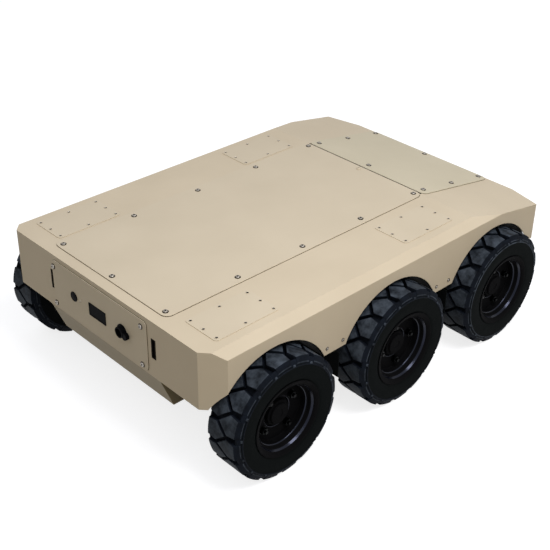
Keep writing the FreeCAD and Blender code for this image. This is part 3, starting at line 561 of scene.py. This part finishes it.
def plastic(name, colour, roughness, grain_size, shine=0.15):
    """Moulded plastic has one even colour. Its mould leaves a fine grain that softens its
    shine, drawn about a millimetre wide so that it shows."""
    moulded, tree = new_material(name)
    place = add_node(tree, "TexCoord").outputs["Object"]
    grain = add_node(tree, "TexNoise", Vector=place, Scale=1 / grain_size, Detail=2.0)
    sheen = add_node(tree, "MapRange", Value=grain.outputs["Fac"], From_Min=0.3, From_Max=0.7,
                     To_Min=roughness - 0.05, To_Max=roughness + 0.05)
    relief = add_node(tree, "Bump", Height=grain.outputs["Fac"], Strength=0.2, Distance=0.0001)
    body = add_node(tree, "BsdfPrincipled", Base_Color=linear(colour), IOR=1.46,
                    Roughness=sheen.outputs["Result"], Specular_IOR_Level=shine,
                    Normal=relief.outputs["Normal"])
    add_node(tree, "OutputMaterial", Surface=body.outputs[0])
    return moulded


panel_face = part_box("rear_panel")[0].x


def seat_on_panel(node):
    """A place on the panel's face at the middle of the node, whose Y axis points outwards."""
    low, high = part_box(node)
    middle = (low + high) / 2
    facing_back = Matrix.Rotation(math.radians(90), 4, "Z")
    return Matrix.Translation((panel_face, middle.y, middle.z)) @ facing_back


black_plastic = plastic("black_moulded_plastic", "#050506", 0.6, 0.0012, 0.04)
button_plastic = plastic("black_moulded_button", "#040405", 0.55, 0.001, 0.03)

button = turned([(-0.03, 0), (-0.03, 0.0109), (0, 0.0109), (0, 0.0160), (0.0012, 0.0160),
                 (0.0022, 0.0150), (0.0022, 0.0128), (0.0014, 0.0120), (0.0018, 0.0112),
                 (0.0024, 0.0060), (0.0026, 0)], 48)
button.data.transform(seat_on_panel("power_button"))
bevel(button, 0.0004, 2)
finish_piece(button, "power_button_cap", button_plastic, "chassis")
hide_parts("power_button")

lens = turned([(-0.03, 0), (-0.03, 0.0024), (0, 0.0024), (0, 0.0034), (0.0008, 0.0034),
               (0.0010, 0.0026), (0.0026, 0.0023), (0.0034, 0.0014), (0.0037, 0)], 24)
lens.data.transform(seat_on_panel("status_lamp"))

# The lamp is off, so its cast epoxy is a wet-looking pale tan, cloudy over about 2 mm
clear_lens, lens_tree = new_material("clear_epoxy_lens")
lens_place = add_node(lens_tree, "TexCoord").outputs["Object"]
lens_cloud = add_node(lens_tree, "TexNoise", Vector=lens_place, Scale=1 / 0.002, Detail=1.0)
lens_tint = add_node(lens_tree, "ValToRGB", Fac=lens_cloud.outputs["Fac"],
                     stops=[(0.3, "#a39a86"), (0.7, "#b3aa96")])
lens_body = add_node(lens_tree, "BsdfPrincipled", Base_Color=lens_tint.outputs["Color"],
                     Roughness=0.15, IOR=1.5)
add_node(lens_tree, "OutputMaterial", Surface=lens_body.outputs[0])
finish_piece(lens, "status_lamp_lens", clear_lens, "chassis")
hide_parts("status_lamp")

bezel_size = (0.033, 0.080, 0.042)
bezel_stands_out = 0.0022
bezel_frame = 0.0032
glass_depth = 0.0012
display_low, display_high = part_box("display")
bpy.ops.object.select_all(action="DESELECT")
bpy.ops.mesh.primitive_cube_add(size=1, location=(0, 0, 0))
bezel = bpy.context.object
start_edit(bezel, "FACE")
bpy.ops.mesh.select_all(action="SELECT")
bpy.ops.transform.resize(value=bezel_size)
bpy.ops.transform.translate(value=(panel_face - bezel_stands_out + bezel_size[0] / 2,
                                   (display_low.y + display_high.y) / 2,
                                   (display_low.z + display_high.z) / 2))
choose(bezel, "faces", lambda face: face.normal.x < -0.9)
bpy.ops.mesh.inset(thickness=bezel_frame)
bpy.ops.mesh.extrude_region_move(TRANSFORM_OT_translate={"value": (glass_depth, 0, 0)})
bpy.ops.object.mode_set(mode="OBJECT")
bevel(bezel, 0.0006, 2)

# Smoked glass is near black and hides the display, and smears about 20 mm wide dull its shine
dark_glass, glass_tree = new_material("smoked_display_glass")
glass_place = add_node(glass_tree, "TexCoord").outputs["Object"]
smears = add_node(glass_tree, "TexNoise", Vector=glass_place, Scale=1 / 0.02, Detail=3.0)
smear_gloss = add_node(glass_tree, "MapRange", Value=smears.outputs["Fac"], From_Min=0.35,
                       From_Max=0.65, To_Min=0.16, To_Max=0.3)
glass_body = add_node(glass_tree, "BsdfPrincipled", Base_Color=linear("#040406"), IOR=1.5,
                      Specular_IOR_Level=0.01, Roughness=smear_gloss.outputs["Result"])
add_node(glass_tree, "OutputMaterial", Surface=glass_body.outputs[0])
finish_piece(bezel, "display_bezel", black_plastic, "chassis")
bezel.data.materials.append(dark_glass)
smallest_pane = 0.002
for face in bezel.data.polygons:
    if face.normal.x < -0.9 and face.area > smallest_pane:
        face.material_index = 1
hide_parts("display")

# The socket's ribbed shell, the lug of its cap's hinge, and the strap between them
shell = turned([(-0.03, 0.0), (-0.03, 0.0165), (0, 0.0165), (0, 0.0216), (0.0028, 0.0216),
                (0.0034, 0.0185), (0.0044, 0.0172), (0.0062, 0.0172), (0.0066, 0.0164),
                (0.0076, 0.0164), (0.0080, 0.0172), (0.0098, 0.0172), (0.0102, 0.0164),
                (0.0112, 0.0164), (0.0116, 0.0170), (0.0138, 0.0168), (0.0138, 0.0136),
                (0.0040, 0.0132), (0.0040, 0.0)], 48)
bevel(shell, 0.0004, 2)
bpy.ops.object.select_all(action="DESELECT")
bpy.ops.mesh.primitive_cylinder_add(vertices=32, radius=0.0112, depth=0.0110,
                                    location=(0, 0, 0))
hinge_lug = bpy.context.object
start_edit(hinge_lug, "FACE")
bpy.ops.mesh.select_all(action="SELECT")
bpy.ops.transform.rotate(value=math.radians(90), orient_axis="X", center_override=(0, 0, 0))
choose(hinge_lug, "faces", lambda face: abs(face.normal.y) > 0.9)
bpy.ops.mesh.inset(thickness=0.003)
bpy.ops.object.mode_set(mode="OBJECT")
hinge_lug.data.transform(Matrix.Translation((-0.0225, 0.0070, -0.0040)))
bevel(hinge_lug, 0.0006, 2)
bpy.ops.object.select_all(action="DESELECT")
bpy.ops.mesh.primitive_cube_add(size=1, location=(0, 0, 0))
cap_strap = bpy.context.object
start_edit(cap_strap, "FACE")
bpy.ops.mesh.select_all(action="SELECT")
bpy.ops.transform.resize(value=(0.010, 0.003, 0.016))
bpy.ops.transform.translate(value=(-0.0120, 0.0082, -0.0120))
bpy.ops.object.mode_set(mode="OBJECT")
cap_strap.data.transform(Matrix.Rotation(math.radians(40), 4, "Y"))
bevel(cap_strap, 0.0008, 2)
join_pieces([shell, hinge_lug, cap_strap])
shell.data.transform(seat_on_panel("charge_socket"))
finish_piece(shell, "charge_socket_shell", black_plastic, "chassis")
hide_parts("charge_socket")


# Tyres
# Solid rubber tyres with two rows of sixteen deep lugs, pointed towards the middle and set half
# a pitch apart. The rubber is moulded and dull on the sides. The lugs are a lighter bluish grey
# on top, partly from scuffing and partly as a painted highlight, and their sides and the grooves
# are darker, as painted shade.

tread_radius = 0.1923
lug_foot = 0.174
lugs_a_row = 16
lug_pitch = 2 * math.pi / lugs_a_row


def rubber(name, low, high, roughness, shine):
    """Carbon-filled rubber is near black and satin. Dust and scuffing lighten it in patches of
    about 30 mm, over a fine moulded grain that is drawn at 1.5 mm so that it shows."""
    compound, tree = new_material(name)
    place = add_node(tree, "TexCoord").outputs["Object"]
    patches = add_node(tree, "TexNoise", Vector=place, Scale=1 / 0.03, Detail=4.0,
                       Roughness=0.6)
    dust = add_node(tree, "ValToRGB", Fac=patches.outputs["Fac"],
                    stops=[(0.35, low), (0.7, high)])
    grain = add_node(tree, "TexNoise", Vector=place, Scale=1 / 0.0015, Detail=2.0)
    dull = add_node(tree, "MapRange", Value=patches.outputs["Fac"], From_Min=0.3, From_Max=0.7,
                    To_Min=roughness - 0.05, To_Max=roughness + 0.08)
    relief = add_node(tree, "Bump", Height=grain.outputs["Fac"], Strength=0.35, Distance=0.0003)
    body = add_node(tree, "BsdfPrincipled", Base_Color=dust.outputs["Color"], IOR=1.5,
                    Specular_IOR_Level=shine, Roughness=dull.outputs["Result"],
                    Normal=relief.outputs["Normal"])
    add_node(tree, "OutputMaterial", Surface=body.outputs[0])
    return compound


# The groove rubber is painted shade, darker than the lug tops. The tread rubber's lighter bluish
# grey is partly scuffing and partly a painted highlight.
side_rubber = rubber("moulded_sidewall_rubber", "#060909", "#0c0f0f", 0.7, 0.025)
groove_rubber = rubber("dark_groove_rubber", "#0b0e13", "#161b23", 0.66, 0.04)
tread_rubber = rubber("scuffed_tread_rubber", "#191d22", "#444b53", 0.6, 0.05)

# The carcass: a flat tread floor, a low wall that closes the grooves at each shoulder, a narrow
# ledge and the sidewall
half_carcass = [(0.0, 0.1765), (0.0455, 0.1765), (0.0480, 0.1800), (0.0490, 0.1850),
                (0.0540, 0.1850), (0.0565, 0.1798), (0.0586, 0.1752), (0.0596, 0.1712),
                (0.0612, 0.1700), (0.0629, 0.1692), (0.0629, 0.1672), (0.0618, 0.1655),
                (0.0622, 0.1500), (0.0614, 0.1300), (0.0600, 0.1235), (0.0588, 0.1205),
                (0.0500, 0.1021), (0.0, 0.1021)]
other_half = [(-along, radius) for along, radius in reversed(half_carcass[1:-1])]
carcass = turned(half_carcass + other_half, 96, closed=True)
bevel(carcass, 0.0006, 2, 25)

# One lug: a five-sided block, cut across for its curve, with a sloped shoulder
bpy.ops.object.select_all(action="DESELECT")
bpy.ops.mesh.primitive_circle_add(vertices=5, radius=0.03, fill_type="NGON", location=(0, 0, 0))
lug = bpy.context.object
start_edit(lug, "FACE")
outline = [(0.0, -0.0150), (0.0315, 0.0210), (0.0258, 0.0592), (-0.0258, 0.0592),
           (-0.0315, 0.0210)]
outline_middle = 0.02
block = bmesh.from_edit_mesh(lug.data)
ring = sorted(block.verts, key=lambda v: math.atan2(v.co.y, v.co.x))
places = sorted(outline, key=lambda p: math.atan2(p[1] - outline_middle, p[0]))
for vertex, (across, along) in zip(ring, places):
    vertex.co = (across, along, lug_foot)
bmesh.update_edit_mesh(lug.data)
bpy.ops.mesh.select_all(action="SELECT")
bpy.ops.mesh.extrude_region_move(
    TRANSFORM_OT_translate={"value": (0, 0, tread_radius - lug_foot)})
bpy.ops.mesh.select_all(action="SELECT")
bpy.ops.mesh.normals_make_consistent(inside=False)
bpy.ops.mesh.bisect(plane_co=(0, 0.0515, tread_radius), plane_no=(0, 0.905, 0.425),
                    use_fill=True, clear_outer=True)
choose(lug, "edges", lambda edge: all(v.co.z > lug_foot + 0.0003 for v in edge.verts))
bpy.ops.mesh.bevel(offset=0.0014, segments=2, affect="EDGES")
for cut in (-0.024, -0.012, 0.0, 0.012, 0.024):
    bpy.ops.mesh.select_all(action="SELECT")
    bpy.ops.mesh.bisect(plane_co=(cut, 0, 0), plane_no=(1, 0, 0))
bpy.ops.object.mode_set(mode="OBJECT")
lug.data.materials.append(tread_rubber)
lug.data.materials.append(groove_rubber)
heel_top, heel_start = 0.1768, 0.0575
# Lug tops and heels take the lighter tread rubber, and the lugs' sides take the darker groove
# rubber as painted shade
for face in lug.data.polygons:
    is_top = face.normal.z > 0.93
    is_heel = face.center.z < heel_top and face.center.y > heel_start
    face.material_index = 0 if is_top or is_heel else 1
for vertex in lug.data.vertices:
    turn, radius = vertex.co.x / tread_radius, vertex.co.z
    vertex.co.x, vertex.co.z = radius * math.sin(turn), radius * math.cos(turn)

# A small rib at the foot of each groove, on the shoulder ledge
bpy.ops.object.select_all(action="DESELECT")
bpy.ops.mesh.primitive_cube_add(size=1, location=(0, 0, 0))
rib = bpy.context.object
start_edit(rib, "FACE")
bpy.ops.mesh.select_all(action="SELECT")
bpy.ops.transform.resize(value=(0.011, 0.0080, 0.0080))
bpy.ops.transform.translate(value=(0, 0.0586, 0.1708))
choose(rib, "faces", lambda face: face.normal.z > 0.9)
bpy.ops.transform.resize(value=(0.55, 0.8, 1))
bpy.ops.object.mode_set(mode="OBJECT")
bevel(rib, 0.0008, 2)
rib.data.materials.append(tread_rubber)

half_turn = Matrix.Rotation(math.pi, 4, "Z")
in_row = [Matrix.Rotation(i * lug_pitch, 4, "Y") for i in range(lugs_a_row)]
between = [Matrix.Rotation((i + 0.5) * lug_pitch, 4, "Y") for i in range(lugs_a_row)]
all_lugs = copies(lug, in_row + [place @ half_turn for place in between])
all_ribs = copies(rib, between + [place @ half_turn for place in in_row])

ledge_inner, ledge_outer, ledge_face = 0.1668, 0.1702, 0.0606


def on_highlit_ledge(face, axle):
    """Whether a face of the tyre on this axle lies on the narrow ledge round its sidewall."""
    reach = math.hypot(face.center.x - axle.x, face.center.z - axle.z)
    return ledge_inner < reach < ledge_outer and abs(face.center.y - axle.y) > ledge_face


carcass.data.materials.append(side_rubber)
carcass.data.materials.append(tread_rubber)
carcass.data.materials.append(groove_rubber)
groove_reach = 0.1714
# The groove floor takes the groove rubber as painted shade. The ledge takes it as a faint painted
# highlight, lighter than the sidewall.
for face in carcass.data.polygons:
    is_groove = math.hypot(face.center.x, face.center.z) > groove_reach
    if is_groove or on_highlit_ledge(face, Vector((0, 0, 0))):
        face.material_index = 2
tyre_master = join_pieces([carcass, all_lugs, all_ribs])


# Wheels
# Each wheel is a pressed steel rim in black enamel, bolted by four nuts to a turned hub. Only
# three narrow beads of the rim keep the gloss, so that the glints fall on them alone, as painted
# highlights. The rest of the rim and the hub are matt black with patchy dust, as painted shade
# in the deep dish. Every wheel has come to rest at its own angle.

def enamel(name, colour, roughness, shine):
    """Sprayed enamel is smooth and deep, with a faint ripple about 6 mm long. It is glossy
    where it is clean, and hazy in patches of about 40 mm. Its reflections are tinted pale blue,
    a painted reflection of a blue sky."""
    paint, tree = new_material(name)
    place = add_node(tree, "TexCoord").outputs["Object"]
    ripple = add_node(tree, "TexNoise", Vector=place, Scale=1 / 0.006, Detail=1.0)
    dust = add_node(tree, "TexNoise", Vector=place, Scale=1 / 0.04, Detail=4.0)
    haze = add_node(tree, "MapRange", Value=dust.outputs["Fac"], From_Min=0.35, From_Max=0.7,
                    To_Min=roughness, To_Max=roughness + 0.14)
    relief = add_node(tree, "Bump", Height=ripple.outputs["Fac"], Strength=0.12, Distance=0.0002)
    # The pale blue tint on the reflections is a painted sky reflection
    body = add_node(tree, "BsdfPrincipled", Base_Color=linear(colour), IOR=1.5,
                    Specular_IOR_Level=shine, Specular_Tint=linear("#d4ddff"),
                    Roughness=haze.outputs["Result"], Normal=relief.outputs["Normal"])
    add_node(tree, "OutputMaterial", Surface=body.outputs[0])
    return paint


rim_enamel = enamel("gloss_black_enamel", "#07080f", 0.16, 0.28)
black_steel = steel("blackened_steel", "#0d0e0f", 0.36)

# Dust lies on the paint in patches as it does on rubber, and it is as matt. The matt black is
# also painted shade, which keeps the rim's dish and the hub dark
dust_and_shade_black = rubber("dusty_black_disc_paint", "#050506", "#0a0a0b", 0.7, 0.03)

rim_outline = [(0.0620, 0.1190), (0.0600, 0.1190), (0.0500, 0.1016), (0.0380, 0.1016),
               (0.0340, 0.0940), (-0.0340, 0.0940), (-0.0380, 0.1016), (-0.0500, 0.1016),
               (-0.0600, 0.1190), (-0.0620, 0.1190), (-0.0620, 0.1135), (-0.0540, 0.0976),
               (-0.0400, 0.0976), (-0.0360, 0.0900), (0.0080, 0.0900), (0.0080, 0.0320),
               (0.0090, 0.0320), (0.0090, 0.0460), (0.0120, 0.0460), (0.0133, 0.0467),
               (0.0140, 0.0480), (0.0140, 0.0860), (0.0152, 0.0888), (0.0180, 0.0900),
               (0.0320, 0.0900), (0.0340, 0.0904), (0.0356, 0.0914), (0.0366, 0.0928),
               (0.0374, 0.0946), (0.0388, 0.0961), (0.0406, 0.0967), (0.0440, 0.0971),
               (0.0482, 0.0997), (0.0542, 0.1033), (0.0560, 0.1044), (0.0585, 0.1073),
               (0.0612, 0.1140), (0.0616, 0.1165)]
rim_master = turned(rim_outline, 96, closed=True)
bevel(rim_master, 0.0008, 2, 32)
rim_master.data.materials.append(rim_enamel)
rim_master.data.materials.append(dust_and_shade_black)

# Each bead lies between two radii, on the outer side of a place along the axle. Only the beads
# keep the glossy enamel, so that the glints show there alone, as painted highlights
glint_beads = ((0.0459, 0.0482, 0.0091), (0.0904, 0.0928, 0.0338), (0.0997, 0.1033, 0.0091))
for face in rim_master.data.polygons:
    reach = math.hypot(face.center.x, face.center.z)
    is_glint_bead = any(inner < reach < outer and face.center.y > least_y
                  for inner, outer, least_y in glint_beads)
    face.material_index = 0 if is_glint_bead else 1

hub_master = turned([(-0.0730, 0), (-0.0730, 0.0198), (-0.0022, 0.0200), (-0.0020, 0.0780),
                     (0.0078, 0.0780), (0.0080, 0.0317), (0.0092, 0.0317), (0.0092, 0.0400),
                     (0.0200, 0.0400), (0.0220, 0.0330), (0.0270, 0.0317), (0.0280, 0.0290),
                     (0.0280, 0.0120), (0.0262, 0.0105), (0.0262, 0)], 64)
bevel(hub_master, 0.0008, 2, 25)

# A wheel nut on its stud, with a washer under it
bpy.ops.object.select_all(action="DESELECT")
bpy.ops.mesh.primitive_cylinder_add(vertices=6, radius=0.0110, depth=0.0100, location=(0, 0, 0))
nut = bpy.context.object
start_edit(nut, "FACE")
bpy.ops.mesh.select_all(action="SELECT")
bpy.ops.transform.rotate(value=math.radians(90), orient_axis="X", center_override=(0, 0, 0))
bpy.ops.transform.translate(value=(0, 0.0206, 0))
bpy.ops.object.mode_set(mode="OBJECT")
bevel(nut, 0.0009, 2)
stud = turned([(0.0100, 0), (0.0100, 0.0058), (0.0310, 0.0058), (0.0322, 0.0046),
               (0.0322, 0)], 20)
washer = turned([(0.0141, 0.0056), (0.0141, 0.0125), (0.0157, 0.0125), (0.0157, 0.0056)], 28,
                closed=True)
join_pieces([nut, washer, stud])
nut_reach = 0.0635
axle_height = 0.1925


def wheel_axle(place):
    """The middle of a wheel on its axle, and the turn that makes its Y axis face outwards."""
    low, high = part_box("tyre_" + place)
    axle = (low + high) / 2
    axle.z = axle_height
    return axle, half_turn if place.endswith("right") else Matrix.Identity(4)


# How far each wheel has turned: its tyre and its nuts, in degrees about the axle
resting = {"rear_right": (-5.2, -10.8), "middle_right": (-3.2, -37.5),
           "front_right": (-12.0, -30.0), "rear_left": (-9.0, -20.0),
           "middle_left": (-16.0, 12.0), "front_left": (-2.0, -5.0)}
for place, (tyre_turn, nut_turn) in resting.items():
    axle, facing = wheel_axle(place)
    at_axle = Matrix.Translation(axle)
    body = "wheel_" + place

    roll = Matrix.Rotation(math.radians(tyre_turn), 4, "Y")
    tyre = copies(tyre_master, [at_axle @ roll @ facing], keep=True)
    if place.startswith("front"):
        # On the front tyres the narrow ledge round the sidewall takes the lighter tread rubber, a
        # painted highlight along it
        for face in tyre.data.polygons:
            if on_highlit_ledge(face, axle):
                face.material_index = 1
    finish_piece(tyre, "tyre_" + place + "_lugged", None, body, 35)
    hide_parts("tyre_" + place)

    rim = copies(rim_master, [at_axle @ facing], keep=True)
    finish_piece(rim, "rim_" + place + "_pressed", None, body, 35)
    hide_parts("rim_" + place)

    hub = copies(hub_master, [at_axle @ facing], keep=True)
    finish_piece(hub, "hub_" + place + "_turned", dust_and_shade_black, body, 35)
    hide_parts("hub_" + place)

    corners = [at_axle @ facing @ Matrix.Rotation(math.radians(nut_turn + 45 + 90 * i), 4, "Y")
               @ Matrix.Translation((0, 0, nut_reach)) for i in range(4)]
    nuts = copies(nut, corners, keep=True)
    finish_piece(nuts, "wheel_nuts_" + place, black_steel, body, 30, settle=False)
for master in (tyre_master, rim_master, hub_master, nut):
    bpy.data.objects.remove(master)


# Drives
# Each wheel has its own gear motor on the side of the tub: a bolted plate, a finned round motor
# and a square gearbox, in black paint.

drive_paint = enamel("satin_black_motor_paint", "#0e0f11", 0.45, 0.2)
case_rounding = 0.0016
motor_radius, motor_inner_end, motor_outer_end = 0.0570, -0.2085, -0.0915
fin_radius, fin_width, fin_pitch, first_fin = 0.0625, 0.0032, 0.0078, -0.2020
fin_profile = [(motor_inner_end, motor_radius)]
for fin in range(14):
    start = first_fin + fin * fin_pitch
    end = start + fin_width
    fin_profile += [(start, motor_radius), (start, fin_radius), (end, fin_radius),
                    (end, motor_radius)]
fin_profile += [(motor_outer_end, motor_radius)]
fins_master = turned(fin_profile, 48)
bevel(fins_master, 0.0005, 1)

# Four bolts hold the gearbox, and six hold the plate to the tub
gearbox_reach, gearbox_face = 0.052, -0.079
plate_reach, plate_face, plate_rows = 0.072, -0.209, (0.078, 0.010, -0.050)
outward = Matrix.Rotation(math.radians(-90), 4, "X")
bolt_places = [Matrix.Translation((i * gearbox_reach, gearbox_face, j * gearbox_reach)) @ outward
               for i in (-1, 1) for j in (-1, 1)]
bolt_places += [Matrix.Translation((i * plate_reach, plate_face, height)) @ outward
                for i in (-1, 1) for height in plate_rows]
bolt_head = button_screw(m8_radius, m8_socket)
bolt_head.data.materials[0] = black_steel
for place in resting:
    axle, facing = wheel_axle(place)
    at_axle = Matrix.Translation(axle) @ facing
    sheet_piece("drive_" + place, case_rounding, "drive_" + place + "_case", drive_paint)
    fins = copies(fins_master, [at_axle], keep=True)
    finish_piece(fins, "motor_fins_" + place, drive_paint, "chassis", 35)
    drive_bolts = copies(bolt_head, [at_axle @ seat for seat in bolt_places], keep=True)
    finish_screws(drive_bolts, "drive_bolts_" + place)
for master in (fins_master, bolt_head):
    bpy.data.objects.remove(master)


# Arch liners
# A strip of black rubber sheet is curved inside each wheel arch, just above the tyre, glued
# behind the side panel, and a flap of the same sheet hangs between each pair of wheels. Both are
# painted shade: dark sheets that stand for the shade under the hull, seen through the arches and
# below the skirts.

shade_band_radius = 0.2172
shade_band_height = 0.1825
shade_band_inner, shade_band_outer = 0.2655, 0.478
for place in resting:
    axle = wheel_axle(place)[0]
    side = -1 if place.endswith("right") else 1
    bpy.ops.object.select_all(action="DESELECT")
    bpy.ops.mesh.primitive_plane_add(size=1, location=(0, 0, 0))
    shade_band = bpy.context.object
    start_edit(shade_band, "EDGE")
    strip = bmesh.from_edit_mesh(shade_band.data)
    for vertex in strip.verts:
        vertex.co.x = math.copysign(shade_band_radius, vertex.co.x)
        vertex.co.y = -shade_band_outer if vertex.co.y < 0 else -shade_band_inner
        vertex.co.z = 0
    bmesh.update_edit_mesh(shade_band.data)
    choose(shade_band, "edges", lambda edge: abs(edge.verts[0].co.x - edge.verts[1].co.x) > 0.1)
    bpy.ops.mesh.subdivide(number_cuts=47)
    strip = bmesh.from_edit_mesh(shade_band.data)
    first = math.radians(25)
    last = math.radians(134 if place.startswith("rear") else 155)
    for vertex in strip.verts:
        turn = first + (shade_band_radius - vertex.co.x) / (2 * shade_band_radius) * (last - first)
        vertex.co.x = axle.x + shade_band_radius * math.cos(turn)
        vertex.co.z = shade_band_height + shade_band_radius * math.sin(turn)
        vertex.co.y *= -side
    bmesh.update_edit_mesh(shade_band.data)
    bpy.ops.object.mode_set(mode="OBJECT")
    bpy.ops.object.modifier_add(type="SOLIDIFY")
    shade_band.modifiers[-1].thickness = 0.002
    shade_band.modifiers[-1].offset = 0
    bpy.ops.object.modifier_apply(modifier=shade_band.modifiers[-1].name)
    start_edit(shade_band, "FACE")
    bpy.ops.mesh.select_all(action="SELECT")
    bpy.ops.mesh.normals_make_consistent(inside=False)
    bpy.ops.object.mode_set(mode="OBJECT")
    bevel(shade_band, 0.0006, 1)
    finish_piece(shade_band, "arch_liner_" + place, side_rubber, "chassis")


def slab(name, low, high, material):
    """A flat sheet or bar between two corners, with slightly rounded edges."""
    bpy.ops.object.select_all(action="DESELECT")
    bpy.ops.mesh.primitive_cube_add(size=1, location=(0, 0, 0))
    piece = bpy.context.object
    start_edit(piece, "FACE")
    bpy.ops.mesh.select_all(action="SELECT")
    bpy.ops.transform.resize(value=[b - a for a, b in zip(low, high)])
    bpy.ops.transform.translate(value=[(a + b) / 2 for a, b in zip(low, high)])
    bpy.ops.object.mode_set(mode="OBJECT")
    bevel(piece, 0.0003, 1)
    return finish_piece(piece, name, material, "chassis")


# Each flap of painted shade is the lower of two overlapping strips, and the upper one is its
# hanger
flap_half = 0.0015
for gap, middle in (("rear", -0.2608), ("front", 0.2238)):
    for side, sign in (("right", -1), ("left", 1)):
        for part, outer, low_z, high_z in (("_hanger", 0.4785, 0.270, 0.3),
                                           ("", 0.4975, 0.186, 0.2725)):
            edges = sorted((sign * shade_band_inner, sign * outer))
            slab(f"mud_flap{part}_{gap}_{side}", (middle - flap_half, edges[0], low_z),
                 (middle + flap_half, edges[1], high_z), side_rubber)


# Seals
# Black rubber cut from sheet and glued, all of it painted shade: a sheet behind each slot of the
# rear wall for the shade inside it, an edging round the slot that widens its dark, a strip in the
# gap between lid and hatch, and gaskets that show as thin lines round the lid, the hatch and the
# panel, for the shade at their edges.

wall_face = panel_face + 0.003
slot_low, slot_high = 0.338, 0.402
edging_height = 0.003


def edging(name, low_y, high_y, low_z, high_z):
    """A black strip of painted shade along one edge of a slot, which stands a little out of the
    wall.
    """
    slab(name, (wall_face - 0.0012, low_y, low_z), (wall_face + 0.0035, high_y, high_z),
         washer_shade_rubber)


for side, sign in (("right", -1), ("left", 1)):
    edges = sorted((sign * 0.2150, sign * 0.2650))
    slab(f"slot_guard_{side}", (wall_face + 0.0120, edges[0], 0.300),
         (wall_face + 0.0140, edges[1], 0.410), washer_shade_rubber)
    edges = sorted((sign * 0.2452, sign * 0.2492))
    edging(f"slot_edging_{side}", edges[0], edges[1], slot_low, slot_high)
for side, low_y, high_y in (("right", -0.2492, -0.2308), ("left", 0.2352, 0.2492)):
    for end, low_z in (("lower", slot_low), ("upper", slot_high - edging_height)):
        edging(f"slot_edging_{side}_{end}", low_y, high_y, low_z, low_z + edging_height)
edging("slot_edging_right_inner", -0.2348, -0.2308, slot_low, slot_high)

# A black strip in the gap between lid and hatch: painted shade
slab("bend_seal", (0.3768, -0.243, 0.4578), (0.3810, 0.272, 0.4590), washer_shade_rubber)

# Each gasket has the shape of its plate, shows by so much around it, and lies below it: a thin
# black line of painted shade at the plate's edge
gasket_drop = 0.0021
for node, showing, across, inwards in (("deck_lid", 0.0008, (0, 1), (0, 0, -gasket_drop)),
                                       ("nose_hatch", 0.0005, (0, 1), (0, 0, -gasket_drop)),
                                       ("rear_panel", 0.0006, (1, 2), (gasket_drop, 0, 0))):
    shade_gasket = sheets[node].copy()
    shade_gasket.data = sheets[node].data.copy()
    bpy.context.scene.collection.objects.link(shade_gasket)
    low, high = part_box(node)
    for vertex in shade_gasket.data.vertices:
        for axis in across:
            middle, half = (low[axis] + high[axis]) / 2, (high[axis] - low[axis]) / 2
            vertex.co[axis] = middle + (vertex.co[axis] - middle) * (1 + showing / half)
        vertex.co += Vector(inwards)
    finish_piece(shade_gasket, node + "_gasket", washer_shade_rubber, "chassis")


# Battery
# A sealed battery case that stands on the tub's floor, out of sight. It is moulded in matt black
# plastic, with well-rounded edges.

battery_rounding = 0.004
battery_plastic = plastic("matt_battery_case", "#1d1e20", 0.6, 0.0015)
sheet_piece("battery_block", battery_rounding, "battery_case", battery_plastic)
